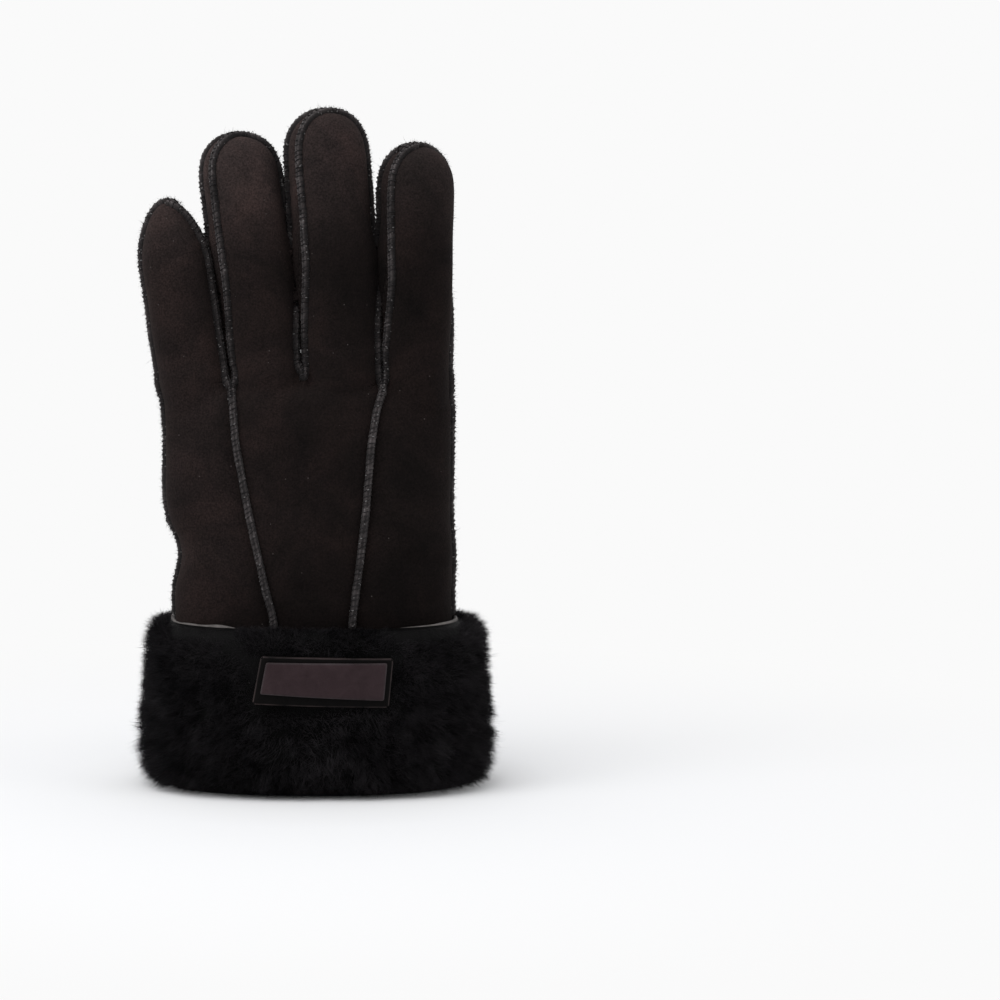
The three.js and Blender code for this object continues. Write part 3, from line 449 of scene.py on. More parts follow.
# columns: x, face, z, how far it spreads across, along, turn in degrees, depth
FOLDS = [
    (-52, 0, 84, 7, 8, 0, -1.6),
    (-40, -1, 92, 3.2, 16, 62, -0.7),
    (-46, -1, 78, 2.6, 12, 75, -0.6),
    (-5, -1, 74, 2.6, 17, 84, -0.5),
    (2, -1, 138, 3, 16, 88, -0.45),
    (14, -1, 96, 4, 22, 12, -0.4),
    (-12, -1, 112, 5, 26, -8, -0.4),
    (38, -1, 84, 2.6, 12, 80, -0.55),
    (44, -1, 70, 2.4, 10, 96, -0.5),
    (-20, -1, 160, 3, 9, 85, -0.45),
    (12, -1, 163, 3, 9, 95, -0.45),
    (39, -1, 158, 3, 9, 88, -0.4),
    (-46, -1, 158, 3, 9, 80, -0.4),
    (40, 1, 96, 3, 20, 60, -0.6),
    (20, 1, 70, 3, 18, 75, -0.7),
    (-36, 1, 78, 3, 14, 70, -0.6),
    (4, 1, 142, 3, 14, 88, -0.5),
    (-16, 1, 140, 3, 12, 85, -0.5),
    (38, 1, 128, 4, 12, 70, -0.5),
]
for x, face, z, spread, length, turn, depth in FOLDS:
    angle = math.radians(turn)
    across = (spots[:, 0] - x) * math.cos(angle) + (spots[:, 2] - z) * math.sin(angle)
    along = -(spots[:, 0] - x) * math.sin(angle) + (spots[:, 2] - z) * math.cos(angle)
    facing = 1.0 if face == 0 else smooth(normals[:, 1] * face, -0.1, 0.5)
    push += depth * np.exp(-(across / spread) ** 2 - (along / length) ** 2) * facing


def side_edge(name, z, side):
    """Where the outer side of a finger lies at a height."""
    finger = FINGERS[name]
    along = (z - CROTCH_HEIGHT) / math.cos(math.radians(finger["lean"]))
    _, wide, deep = finger_section(name, along)
    turn = math.radians(finger["twist"]) * smooth(along / finger["length"], 0.08, 0.5)
    return (finger["root"] + math.tan(math.radians(finger["lean"])) * (z - CROTCH_HEIGHT)
            + side * np.hypot(wide * np.cos(turn), deep * np.sin(turn)))


fill = np.zeros(len(spots))
for i in range(3):
    right, left = side_edge(NAMES[i], spots[:, 2], 1), side_edge(NAMES[i + 1], spots[:, 2], -1)
    room = np.clip((left - right) / 2, 0, 2.6)
    half_way = (left + right) / 2
    close = (np.abs(spots[:, 0] - half_way) < room + 2.5) & (spots[:, 2] > CROTCH_HEIGHT + 2)
    amount = room * np.exp(-(spots[:, 1] / 5.5) ** 4) * smooth(spots[:, 2], CROTCH_HEIGHT + 2, CROTCH_HEIGHT + 8)
    amount *= 1 - smooth(spots[:, 2], CROTCH_HEIGHT + 42, CROTCH_HEIGHT + 60)
    fill = np.where(close, amount * np.sign(half_way - spots[:, 0]), fill)
slack = np.array([noise.noise(Vector((p[0] / 26, p[1] / 26 + 3, p[2] / 30))) for p in spots])
grain = np.array([noise.noise(Vector((p[0] / 9 + 7, p[1] / 9, p[2] / 11))) for p in spots])
push += 0.75 * slack + 0.28 * grain
write(skin.data, (spots + normals * push[:, None] + X_AXIS * fill[:, None]) * MM)
finish_modifier(skin, "SMOOTH", factor=0.5, iterations=2)
print("push from", round(push.min(), 2), "to", round(push.max(), 2))

# %% [markdown]
# ## Which panel a spot belongs to
# The real glove is cut in panels, and each one is a piece here. Every face of the skin is given to a panel by where
# it lies: on the thumb, on a finger's back, palm or side strip, or between the seam lines of the hand.


# %% Sort faces into panels
def line_x(line, z):
    line = np.array(sorted(line, key=lambda p: p[1])) * (HALF_PALM, CROTCH_HEIGHT)
    return np.interp(z, line[:, 1], line[:, 0])


def line_z(line, x):
    line = np.array(sorted(line)) * (HALF_PALM, CROTCH_HEIGHT)
    return np.interp(x, line[:, 0], line[:, 1])


PANELS = ["back_little", "back_middle", "back_index", "palm_little", "palm_middle", "palm_index", "palm_heel",
          "thumb_front", "thumb_back", "fourchette_little_ring", "fourchette_ring_middle", "fourchette_middle_index"]
BACKS, PALMS, STRIPS = (0, 1, 1, 2), (3, 4, 4, 5), (9, 10, 11)


def panel_of(spots):
    x, y, z = spots.T
    panel = np.full(len(spots), -1)
    # the hand
    little_x = np.where(z > 0.97 * CROTCH_HEIGHT, web_x(0), line_x(from_crotch(0, POINT_LITTLE), z))
    index_x = np.where(z > 0.97 * CROTCH_HEIGHT, web_x(2), line_x(from_crotch(2, POINT_INDEX), z))
    back = np.where(x < little_x, 0, np.where(x < index_x, 1, 2))
    palm_left = line_x(from_crotch(0, PALM_LITTLE), z)
    palm_right = line_x(from_crotch(2, PALM_INDEX), z)
    side_z, heel_z, thumb_z = line_z(PALM_SIDE, x), line_z(HEEL_TOP, x), line_z(THUMB_TOP, x)
    heel = (z < np.where(x < HEEL_TOP[0][0] * HALF_PALM, side_z, heel_z)) & (x < HEEL_SIDE[0][0] * HALF_PALM)
    base = (z < thumb_z) & (x >= HEEL_SIDE[0][0] * HALF_PALM)
    palm = np.where(x < palm_left, 3, np.where(x < palm_right, 4, 5))
    palm = np.where(heel, 6, np.where(base, 7, palm))
    panel = np.where(y < 0, back, palm)
    # the fingers
    best = np.full(len(spots), 9.0)
    for i, name in enumerate(NAMES):
        finger = FINGERS[name]
        middle, across, depth, up = finger_frame(name, 0.0)
        along = (spots - middle) @ up
        near = along > -1.0
        middles, acrosses, depths, _ = finger_frame(name, along)
        off = spots - middles
        local_x = np.einsum("ij,ij->i", off, acrosses)
        local_y = np.einsum("ij,ij->i", off, depths)
        rate = np.abs(local_x) / (finger["width"] / 2)
        mine = near & (rate < best) & (rate < 1.6)
        best = np.where(mine, rate, best)
        half = strip_half(name, along)
        strip = np.where(local_x < 0, STRIPS[max(i - 1, 0)], STRIPS[min(i, 2)])
        if i == 0:
            strip = np.where(local_x < 0, np.where(local_y < 0, 0, 3), strip)
        if i == 3:
            strip = np.where(local_x > 0, np.where(local_y < 0, 2, 5), strip)
        found = np.where(local_y < -half, BACKS[i], np.where(local_y > half, PALMS[i], strip))
        panel = np.where(mine, found, panel)
    for i in range(3):
        a, b = FINGERS[NAMES[i]], FINGERS[NAMES[i + 1]]
        web = ((z > CROTCH_HEIGHT - 7) & (x > a["root"]) & (x < b["root"])
               & (np.abs(y) < STRIP_WIDTH / 2) & (z < CROTCH_HEIGHT + 3))
        panel = np.where(web, STRIPS[i], panel)
    # the thumb
    stations = np.linspace(0, 1.05, 64)
    nearest = np.full(len(spots), 1e9)
    rate, level, at = np.full(len(spots), 9.0), np.zeros(len(spots)), np.zeros(len(spots))
    for along in stations:
        middle, across, way, wide, deep = thumb_section(along)
        wide, deep = max(wide, 1), max(deep, 1)
        off = spots - middle
        gap = np.abs(off @ way)
        closer = gap < nearest
        nearest = np.where(closer, gap, nearest)
        rate = np.where(closer, np.abs(off @ across) / wide, rate)
        level = np.where(closer, off[:, 1] / deep, level)
        at = np.where(closer, along, at)
    outside = y > hand_depth(x, z) + 1.3
    on_thumb = outside & (rate < 1.35) & (z < CROTCH_HEIGHT) & (z > CUFF_HEIGHT - 4)
    panel = np.where(on_thumb, np.where((level < 0) & (at > THUMB_BACK_START), 8, 7), panel)
    return panel


mesh = skin.data
centres = np.empty(len(mesh.polygons) * 3)
mesh.polygons.foreach_get("center", centres)
panel = panel_of(centres.reshape(-1, 3) / MM)
# a lone face takes its neighbours' panel
edges = {}
for face in mesh.polygons:
    for key in face.edge_keys:
        edges.setdefault(key, []).append(face.index)
pairs = np.array([faces for faces in edges.values() if len(faces) == 2])
for _ in range(4):
    votes = np.zeros((len(panel), len(PANELS)))
    np.add.at(votes, (pairs[:, 0], panel[pairs[:, 1]]), 1)
    np.add.at(votes, (pairs[:, 1], panel[pairs[:, 0]]), 1)
    votes[np.arange(len(panel)), panel] += 1.5
    panel = votes.argmax(axis=1)
print("faces per panel", dict(zip(PANELS, np.bincount(panel, minlength=12).tolist())))

# %% Cut the skin and open it at the wrist
skin_tree = BVHTree.FromPolygons([v.co for v in mesh.vertices], [list(f.vertices) for f in mesh.polygons])
bottom = centres.reshape(-1, 3)[:, 2] < (HEM_HEIGHT + 1.5) * MM
spots = read(mesh)
corner_lists = [list(f.vertices) for f in mesh.polygons]


def make_mesh(name, spots, faces, smooth_faces=True):
    data = bpy.data.meshes.new(name)
    data.from_pydata([tuple(p) for p in spots], [], [tuple(f) for f in faces])
    data.update()
    if smooth_faces:
        data.polygons.foreach_set("use_smooth", [True] * len(data.polygons))
    piece = bpy.data.objects.new(name, data)
    bpy.context.scene.collection.objects.link(piece)
    return piece


panels = {}
for number, name in enumerate(PANELS):
    faces = [corner_lists[i] for i in np.nonzero((panel == number) & ~bottom)[0]]
    used = sorted({v for f in faces for v in f})
    order = {v: i for i, v in enumerate(used)}
    piece = make_mesh("suede_" + name, spots[used], [[order[v] for v in f] for f in faces])
    panels[name] = piece
bpy.data.objects.remove(skin)
print("panels", {name: len(piece.data.polygons) for name, piece in panels.items()})

# %% [markdown]
# ## The leather's thickness
# Shearling is thick: suede outside, clipped wool inside. Solidify gives each panel its wall, inwards, so the glove is
# hollow and its wool side shows at the wrist.

# %% Give the panels their wall
for name, piece in panels.items():
    finish_modifier(piece, "SOLIDIFY", thickness=WALL * MM, offset=-1.0, use_even_offset=False, use_rim=True)
print("walls", WALL, "mm")

# %% [markdown]
# ## Raised seams
# On each seam the two cut edges stand up together under a thread that goes over them again and again. Sweeping a
# small two-lipped section along the path gives the cord, and its size breathes a little at each stitch.


# %% Lay the paths on the skin
def resample(path, step):
    path = np.array(path)
    lengths = np.concatenate([[0], np.cumsum(np.linalg.norm(np.diff(path, axis=0), axis=1))])
    count = max(int(lengths[-1] / step), 4)
    at = np.linspace(0, lengths[-1], count + 1)
    return np.stack([np.interp(at, lengths, path[:, k]) for k in range(3)], axis=1)


def relax(row, times):
    row = row.copy()
    for _ in range(times):
        row[1:-1] = (row[:-2] + 2 * row[1:-1] + row[2:]) / 4
    return row


def lay(path, step=0.8):
    """The path on the skin, its way out of the skin, and its way across."""
    path = relax(resample(path, step), 6)
    hits = [skin_tree.find_nearest(Vector(p * MM)) for p in path]
    place = relax(np.array([np.array(h[0]) / MM for h in hits]), 5)
    out = relax(np.array([np.array(h[1]) for h in hits]), 14)
    ahead = np.gradient(place, axis=0)
    ahead /= np.linalg.norm(ahead, axis=1)[:, None]
    out -= ahead * np.einsum("ij,ij->i", out, ahead)[:, None]
    out /= np.linalg.norm(out, axis=1)[:, None]
    return place, out, np.cross(ahead, out), ahead


SEAM_WIDTH = 2.5
SEAM_HEIGHT = 2.1
STITCH_STEP = 1.9
# the section of a seam: aside, out
LIPS = np.array([(-0.62, -0.35), (-0.6, 0.2), (-0.52, 0.62), (-0.3, 0.95), (-0.08, 0.8), (0.08, 0.8), (0.3, 0.95),
                 (0.52, 0.62), (0.6, 0.2), (0.62, -0.35)])
random = np.random.default_rng(7)
laid = {node: lay(path) for node, path in paths.items()}


def seam_mesh(node):
    place, out, aside, ahead = laid[node]
    walked = np.concatenate([[0], np.cumsum(np.linalg.norm(np.diff(place, axis=0), axis=1))])
    pinch = 1 - 0.13 * (0.5 + 0.5 * np.cos(2 * math.pi * walked / STITCH_STEP))
    wander = np.array([noise.noise(Vector((w / 6, 1.7, 0))) for w in walked])
    ends = np.minimum(1, np.minimum(walked, walked[-1] - walked) / 1.5 + 0.35)
    spots, faces, n = [], [], len(LIPS)
    for i in range(len(place)):
        size = pinch[i] * ends[i] * (1 + 0.12 * wander[i])
        for a, b in LIPS:
            lift = b * SEAM_HEIGHT * (size if b > 0 else 1)
            spots.append(place[i] + aside[i] * a * SEAM_WIDTH * size + out[i] * lift
                         + aside[i] * wander[i] * 0.25 * max(b, 0))
    for i in range(len(place) - 1):
        for k in range(n):
            a, b = i * n + k, i * n + (k + 1) % n
            faces.append((a, a + n, b + n, b))
    faces.append(tuple(range(n)))
    faces.append(tuple((len(place) - 1) * n + k for k in reversed(range(n))))
    return np.array(spots) * MM, faces


seams = {}
for node in paths:
    spots, faces = seam_mesh(node)
    seams[node] = make_mesh("edges_" + node, spots, faces)
    # the crest value runs from 0 on the flanks of the cord to 1 on its lips; the seam material lightens its colour
    # with it as a painted highlight
    crest_highlight = seams[node].data.attributes.new("crest_highlight", "FLOAT", "POINT")
    crest_highlight.data.foreach_set("value", np.tile(np.interp(LIPS[:, 1], (0.2, 0.62, 0.95), (0.0, 0.35, 1.0)),
                                            len(spots) // len(LIPS)))
    only(seams[node])
    bpy.ops.object.mode_set(mode="EDIT")
    bpy.ops.mesh.select_all(action="SELECT")
    bpy.ops.mesh.normals_make_consistent(inside=False)
    bpy.ops.object.mode_set(mode="OBJECT")
print("seam faces", sum(len(s.data.polygons) for s in seams.values()))

# %% [markdown]
# ## Overcast stitches
# One stitch is modelled once, as the half of a thin ring that bisect leaves, and copied along every seam. Each copy
# slants a little, as thread does that goes round and on.

# %% One stitch
clear()
bpy.ops.mesh.primitive_torus_add(major_segments=12, minor_segments=4, major_radius=1.0, minor_radius=0.13,
                                 location=(0, 0, 0), rotation=(math.pi / 2, 0, 0))
stitch = bpy.context.object
bpy.ops.object.transform_apply(location=True, rotation=True, scale=True)
bpy.ops.object.mode_set(mode="EDIT")
bpy.ops.mesh.select_all(action="SELECT")
bpy.ops.mesh.bisect(plane_co=(0, 0, -0.15), plane_no=(0, 0, 1), clear_inner=True, use_fill=True)
bpy.ops.object.mode_set(mode="OBJECT")
stitch_spots = np.array([v.co for v in stitch.data.vertices])
stitch_faces = [tuple(f.vertices) for f in stitch.data.polygons]
bpy.data.objects.remove(stitch)
print("stitch", len(stitch_faces), "faces")


# %% Sew every seam
def copies(name, spots, faces, frames):
    """One mesh of many copies; a frame is an origin and three directions, which hold the copy's size."""
    all_spots = np.concatenate([o + spots[:, :1] * a + spots[:, 1:2] * b + spots[:, 2:] * c for o, a, b, c in frames])
    n = len(spots)
    all_faces = [tuple(v + i * n for v in face) for i in range(len(frames)) for face in faces]
    return make_mesh(name, all_spots * MM, all_faces)


frames = {"threads_back": [], "threads_palm": []}
for node, (place, out, aside, ahead) in laid.items():
    walked = np.concatenate([[0], np.cumsum(np.linalg.norm(np.diff(place, axis=0), axis=1))])
    for at in np.arange(1.0, walked[-1] - 0.8, STITCH_STEP):
        at += random.uniform(-0.18, 0.18)
        i = min(int(np.searchsorted(walked, at)), len(place) - 1)
        slant = ahead[i] * (0.55 + random.uniform(-0.22, 0.22))
        wide, high = SEAM_WIDTH * 0.57, SEAM_HEIGHT * 0.9
        key = "threads_palm" if place[i][1] > 0 and "side" not in node else "threads_back"
        frames[key].append((place[i] + out[i] * 0.15, aside[i] * wide + slant, ahead[i] * 1.7, out[i] * high))
threads = {key: copies(key, stitch_spots, stitch_faces, rows) for key, rows in frames.items()}
print("stitches", {key: len(rows) for key, rows in frames.items()})

# %% [markdown]
# ## Wool fuzz along the seams
# Where two skins meet, a little wool creeps out between the edges and shows against a pale ground. It is built as
# thin tapered ribbons, because a hair is too thin for a modelled copy to have a round section.


# %% Ribbons of hair
def ribbons(name, roots, ways, lengths, widths, bends, segments=3):
    """Tapered strands: each bends from its way towards its bend as it grows."""
    count = len(roots)
    side = np.cross(ways, random.normal(size=(count, 3)))
    side /= np.linalg.norm(side, axis=1)[:, None]
    rows = []
    for k in range(segments):
        t = k / segments
        spine = roots + (ways * t + bends * t * t) * lengths[:, None]
        half = side * (widths * (1 - 0.75 * t) / 2)[:, None]
        rows += [spine - half, spine + half]
    rows.append(roots + (ways + bends) * lengths[:, None])
    spots = np.stack(rows, axis=1).reshape(-1, 3) * MM
    n = 2 * segments + 1
    base = np.arange(count)[:, None] * n
    quads = np.concatenate([base + np.array([[2 * k, 2 * k + 1, 2 * k + 3, 2 * k + 2]]) for k in range(segments - 1)])
    tips = base + np.array([[2 * segments - 2, 2 * segments - 1, 2 * segments]])
    data = bpy.data.meshes.new(name)
    data.vertices.add(len(spots))
    data.vertices.foreach_set("co", spots.astype(np.float32).ravel())
    data.loops.add(quads.size + tips.size)
    data.loops.foreach_set("vertex_index", np.concatenate([quads.ravel(), tips.ravel()]).astype(np.int32))
    data.polygons.add(len(quads) + len(tips))
    starts = np.concatenate([np.arange(len(quads)) * 4, len(quads) * 4 + np.arange(len(tips)) * 3])
    data.polygons.foreach_set("loop_start", starts.astype(np.int32))
    data.update(calc_edges=True)
    data.validate()
    piece = bpy.data.objects.new(name, data)
    bpy.context.scene.collection.objects.link(piece)
    return piece


roots, ways = [], []
for node, (place, out, aside, ahead) in laid.items():
    if node in ("seam_heel", "seam_palm_index"):
        continue
    density = 8.0 if "side" in node or "back" in node or "thumb" in node else 3.0
    count = int(len(place) * 0.8 * density)
    pick = random.integers(0, len(place), count)
    spread = random.uniform(-1, 1, count)
    roots.append(place[pick] + aside[pick] * (spread * 1.2)[:, None] + out[pick] * 1.5)
    ways.append(out[pick] + aside[pick] * (spread * 1.1)[:, None]
                + ahead[pick] * random.uniform(-0.9, 0.9, count)[:, None])
roots, ways = np.concatenate(roots), np.concatenate(ways)
ways /= np.linalg.norm(ways, axis=1)[:, None]
count = len(roots)
fuzz = ribbons("seam_wool", roots, ways,
               random.uniform(0.6, 1.6, count) * np.where(random.random(count) > 0.97, 1.8, 1.0),
               random.uniform(0.09, 0.17, count), random.normal(scale=0.35, size=(count, 3)))
print("fuzz", count, "hairs")

# %% [markdown]
# ## The turned-up cuff
# The cuff is the glove's own skin turned inside out and up, so its wool is outside. Under the pile lies a firm
# backing: a closed ring, made by extruding a circle up the outside, over the rim and down the inside. The cut edge
# of the leather shows at the rim as a thin pale line.

# %% The backing
SIDES = 96
# columns: height in cuff heights, distance out of the wrist in millimetres
BACKING = [(0.006, 3.0), (0.09, 7.5), (0.25, 9.6), (0.45, 9.2), (0.65, 8.8), (0.82, 8.9), (0.92, 7.8), (0.97, 5.4),
           (0.985, 2.8), (0.9, 1.0), (0.5, 0.9), (0.15, 0.8), (0.08, -3.6), (0.006, -3.2)]


def wrist(angle, extra, height):
    middle, wide, deep = hand_section(0.0)
    wide, deep = wide + extra, deep + extra
    x = wide * np.sign(np.cos(angle)) * np.abs(np.cos(angle)) ** (2 / SECTION_POWER)
    y = deep * np.sign(np.sin(angle)) * np.abs(np.sin(angle)) ** (2 / SECTION_POWER)
    return np.stack([middle + x, y, height * np.ones_like(x)], axis=-1)


def flare(angle, extra):
    """The cuff stands out more at its sides, and most at the index finger's."""
    return extra + smooth(extra, 2.0, 8.0) * (1.6 * np.clip(np.cos(angle), 0, 1) ** 3
                                              + 0.3 * np.clip(-np.cos(angle), 0, 1) ** 3)


clear()
middle, wide, deep = hand_section(0.0)
bpy.ops.mesh.primitive_circle_add(vertices=SIDES, radius=MM, fill_type="NOTHING", location=(middle * MM, 0, 0))
backing = bpy.context.object
backing.name = "cuff_backing"
bpy.ops.object.transform_apply(location=True, rotation=True, scale=True)
bpy.ops.object.mode_set(mode="EDIT")
bpy.ops.mesh.select_all(action="SELECT")
bpy.ops.transform.resize(value=(wide, deep, 1), center_override=(middle * MM, 0, 0))
for row in BACKING[1:]:
    bpy.ops.mesh.extrude_region_move(TRANSFORM_OT_translate={"value": (0, 0, row[0] * MM)})
bpy.ops.object.mode_set(mode="OBJECT")
spots = read(backing.data)
for number, (up, extra) in enumerate(BACKING):
    block = spots[number * SIDES:(number + 1) * SIDES]
    angle = np.arctan2(block[:, 1] / MM / deep, (block[:, 0] / MM - middle) / wide)
    spots[number * SIDES:(number + 1) * SIDES] = wrist(angle, flare(angle, extra), up * CUFF_HEIGHT) * MM
write(backing.data, spots)
only(backing)
bpy.ops.object.mode_set(mode="EDIT")
bpy.ops.mesh.select_mode(type="EDGE")
bpy.ops.mesh.select_all(action="DESELECT")
bpy.ops.mesh.select_non_manifold(extend=False)
bpy.ops.mesh.bridge_edge_loops()
bpy.ops.mesh.select_all(action="SELECT")
bpy.ops.mesh.normals_make_consistent(inside=False)
bpy.ops.object.mode_set(mode="OBJECT")
bpy.ops.object.shade_smooth()
print("backing", len(backing.data.polygons), "faces")

# %% The cut edge at the rim
RIM_SIDES = 160
angle = np.linspace(0, 2 * math.pi, RIM_SIDES, endpoint=False)
wave = np.array([noise.noise(Vector((3 * math.cos(a), 3 * math.sin(a), 0.5))) for a in angle])
sunk = 3.0 * np.exp(-((wrist(angle, 0, 0)[:, 0] - 3) / 27) ** 4) - 0.8
rim_rows = []
for extra, height in ((1.0, 54.0), (1.1, 60.4), (1.5, 60.9), (2.3, 60.8), (2.6, 60.2), (2.6, 54.0)):
    rim_rows.append(wrist(angle, 0, 0) + (wrist(angle, extra, 0) - wrist(angle, 0, 0)) * (1 + 0.35 * wave)[:, None]
                    + np.stack([0 * angle, 0 * angle, height + 1.1 * wave - sunk], axis=-1))
spots = np.concatenate(rim_rows)
faces = []
for j in range(len(rim_rows)):
    for k in range(RIM_SIDES):
        a, b = j * RIM_SIDES + k, j * RIM_SIDES + (k + 1) % RIM_SIDES
        c, d = ((j + 1) % len(rim_rows)) * RIM_SIDES + (k + 1) % RIM_SIDES, ((j + 1) % len(rim_rows)) * RIM_SIDES + k
        faces.append((a, b, c, d))
rim = make_mesh("cuff_edge", spots * MM, faces)
only(rim)
bpy.ops.object.mode_set(mode="EDIT")
bpy.ops.mesh.select_all(action="SELECT")
bpy.ops.mesh.normals_make_consistent(inside=False)
bpy.ops.object.mode_set(mode="OBJECT")
print("rim", len(faces), "faces")

# %% [markdown]
# ## The pile of the cuff
# Sheepskin grows in tufts. Each tuft has one lean, and its hairs share it with a little scatter, so the pile shows
# soft locks and parts. Hairs near the label are pressed flat, those at the rim stand up and in, and those at the foot
# turn outwards where the cuff rests.

# %% Grow the pile
LABEL_ASIDE, LABEL_UP = 2.2, 42.2
LABEL_SIZE = (49.5, 17.4)
PILE = 135000


def grow(count, tufts=2600):
    tuft_angle = random.uniform(0, 2 * math.pi, tufts)
    tuft_up = random.uniform(0.0, 1.0, tufts)
    tuft_lean = random.normal(scale=0.26, size=(tufts, 3))
    tuft_long = random.uniform(0.88, 1.1, tufts)
    tuft_long *= 1 + random.uniform(0, 0.45, tufts) * smooth(tuft_up, 0.08, 0.16) * (1 - smooth(tuft_up, 0.4, 0.6))
    pick = random.integers(0, tufts, count)
    angle = tuft_angle[pick] + random.normal(scale=0.035, size=count)
    up = np.clip(tuft_up[pick] + random.normal(scale=0.028, size=count), 0, 1)
    # the arc of the backing: foot, side, rim
    rows = np.array([(0.0, 0.012, -2.0), (0.06, 0.014, 3.4), (0.16, 0.085, 7.5), (0.3, 0.25, 9.5), (0.5, 0.47, 9.1),
                     (0.72, 0.7, 8.7), (0.88, 0.9, 8.0), (0.95, 0.965, 5.6), (1.0, 0.975, 3.1)])
    height = np.interp(up, rows[:, 0], rows[:, 1]) * CUFF_HEIGHT
    extra = flare(angle, np.interp(up, rows[:, 0], rows[:, 2]))
    root = wrist(angle, extra - 0.6, 0)
    root[:, 2] = height
    outer = wrist(angle, extra + 1, 0) - wrist(angle, extra, 0)
    outer /= np.linalg.norm(outer, axis=1)[:, None]
    rise = np.interp(up, (0, 0.06, 0.16, 0.3, 0.7, 0.88, 0.95, 1.0), (-0.15, -0.12, -0.3, -0.12, 0.02, 0.5, 1.3, 1.6))
    way = outer + np.array([0, 0, 1.0]) * rise[:, None] + tuft_lean[pick] + random.normal(scale=0.1, size=(count, 3))
    way /= np.linalg.norm(way, axis=1)[:, None]
    length = np.interp(up, (0, 0.06, 0.16, 0.5, 0.85, 0.95, 1.0),
                       (2.0, 3.0, 6.0, 6.2, 6.0, 4.2, 2.4)) * tuft_long[pick]
    length *= random.uniform(0.82, 1.04, count) * np.where(random.random(count) > 0.95, 1.3, 1.0)
    # the hairs of a tuft draw together at their tips
    totals = np.zeros((tufts, 3))
    np.add.at(totals, pick, root + way * length[:, None])
    gather = (totals[pick] / np.maximum(np.bincount(pick, minlength=tufts)[pick], 1)[:, None]
              - (root + way * length[:, None]))
    reach_limit = np.minimum(1, 3.0 / np.maximum(np.linalg.norm(gather, axis=1), 0.01))
    bend = (gather * (0.6 * reach_limit)[:, None] / length[:, None]
            + random.normal(scale=0.1, size=(count, 3)) + np.array([0, 0, -0.12]))
    front = root[:, 1] < 0
    near = np.maximum(np.abs(root[:, 0] - LABEL_ASIDE) / (LABEL_SIZE[0] / 2),
                      np.abs(root[:, 2] - LABEL_UP) / (LABEL_SIZE[1] / 2))
    pressed = front * (1 - smooth(near, 0.95, 1.45))
    length *= 1 - 0.72 * pressed
    aside = np.abs(root[:, 0])
    rim_hair = smooth(up, 0.84, 0.92)
    length *= 1 + 0.45 * smooth(aside, 50, 60) * rim_hair
    length *= 1 - 0.75 * front * rim_hair * smooth(aside, 25, 30) * (1 - smooth(aside, 51, 56))
    tip = root + (way + bend) * length[:, None]
    low = tip[:, 2] < 0.4
    way[low, 2] = np.abs(way[low, 2]) * 0.3
    bend[low, 2] = 0.1
    width = random.uniform(0.14, 0.26, count)
    return angle, root, way, length, width, bend


angle, root, way, length, width, bend = grow(PILE)
quarter = (np.floor((angle % (2 * math.pi)) / (math.pi / 2) + 0.5) % 4).astype(int)
NAMES_OF_QUARTERS = {0: "right", 1: "back", 2: "left", 3: "front"}
pile = {}
for number, word in NAMES_OF_QUARTERS.items():
    pick = quarter == number
    pile[word] = ribbons("cuff_wool_" + word, root[pick], way[pick], length[pick], width[pick], bend[pick],
                         segments=2)
print("pile", {word: len(p.data.polygons) for word, p in pile.items()})

# %% [markdown]
# ## The label
# A leather label lies on the pile: a black bed with a slim pale cut edge, and a raised brown patch on it, which is
# bare. Each is a plane, subdivided, given its thickness and its rounded edges, and then laid round the cuff.


# %% Label plates
LABEL_OUT = 9.6


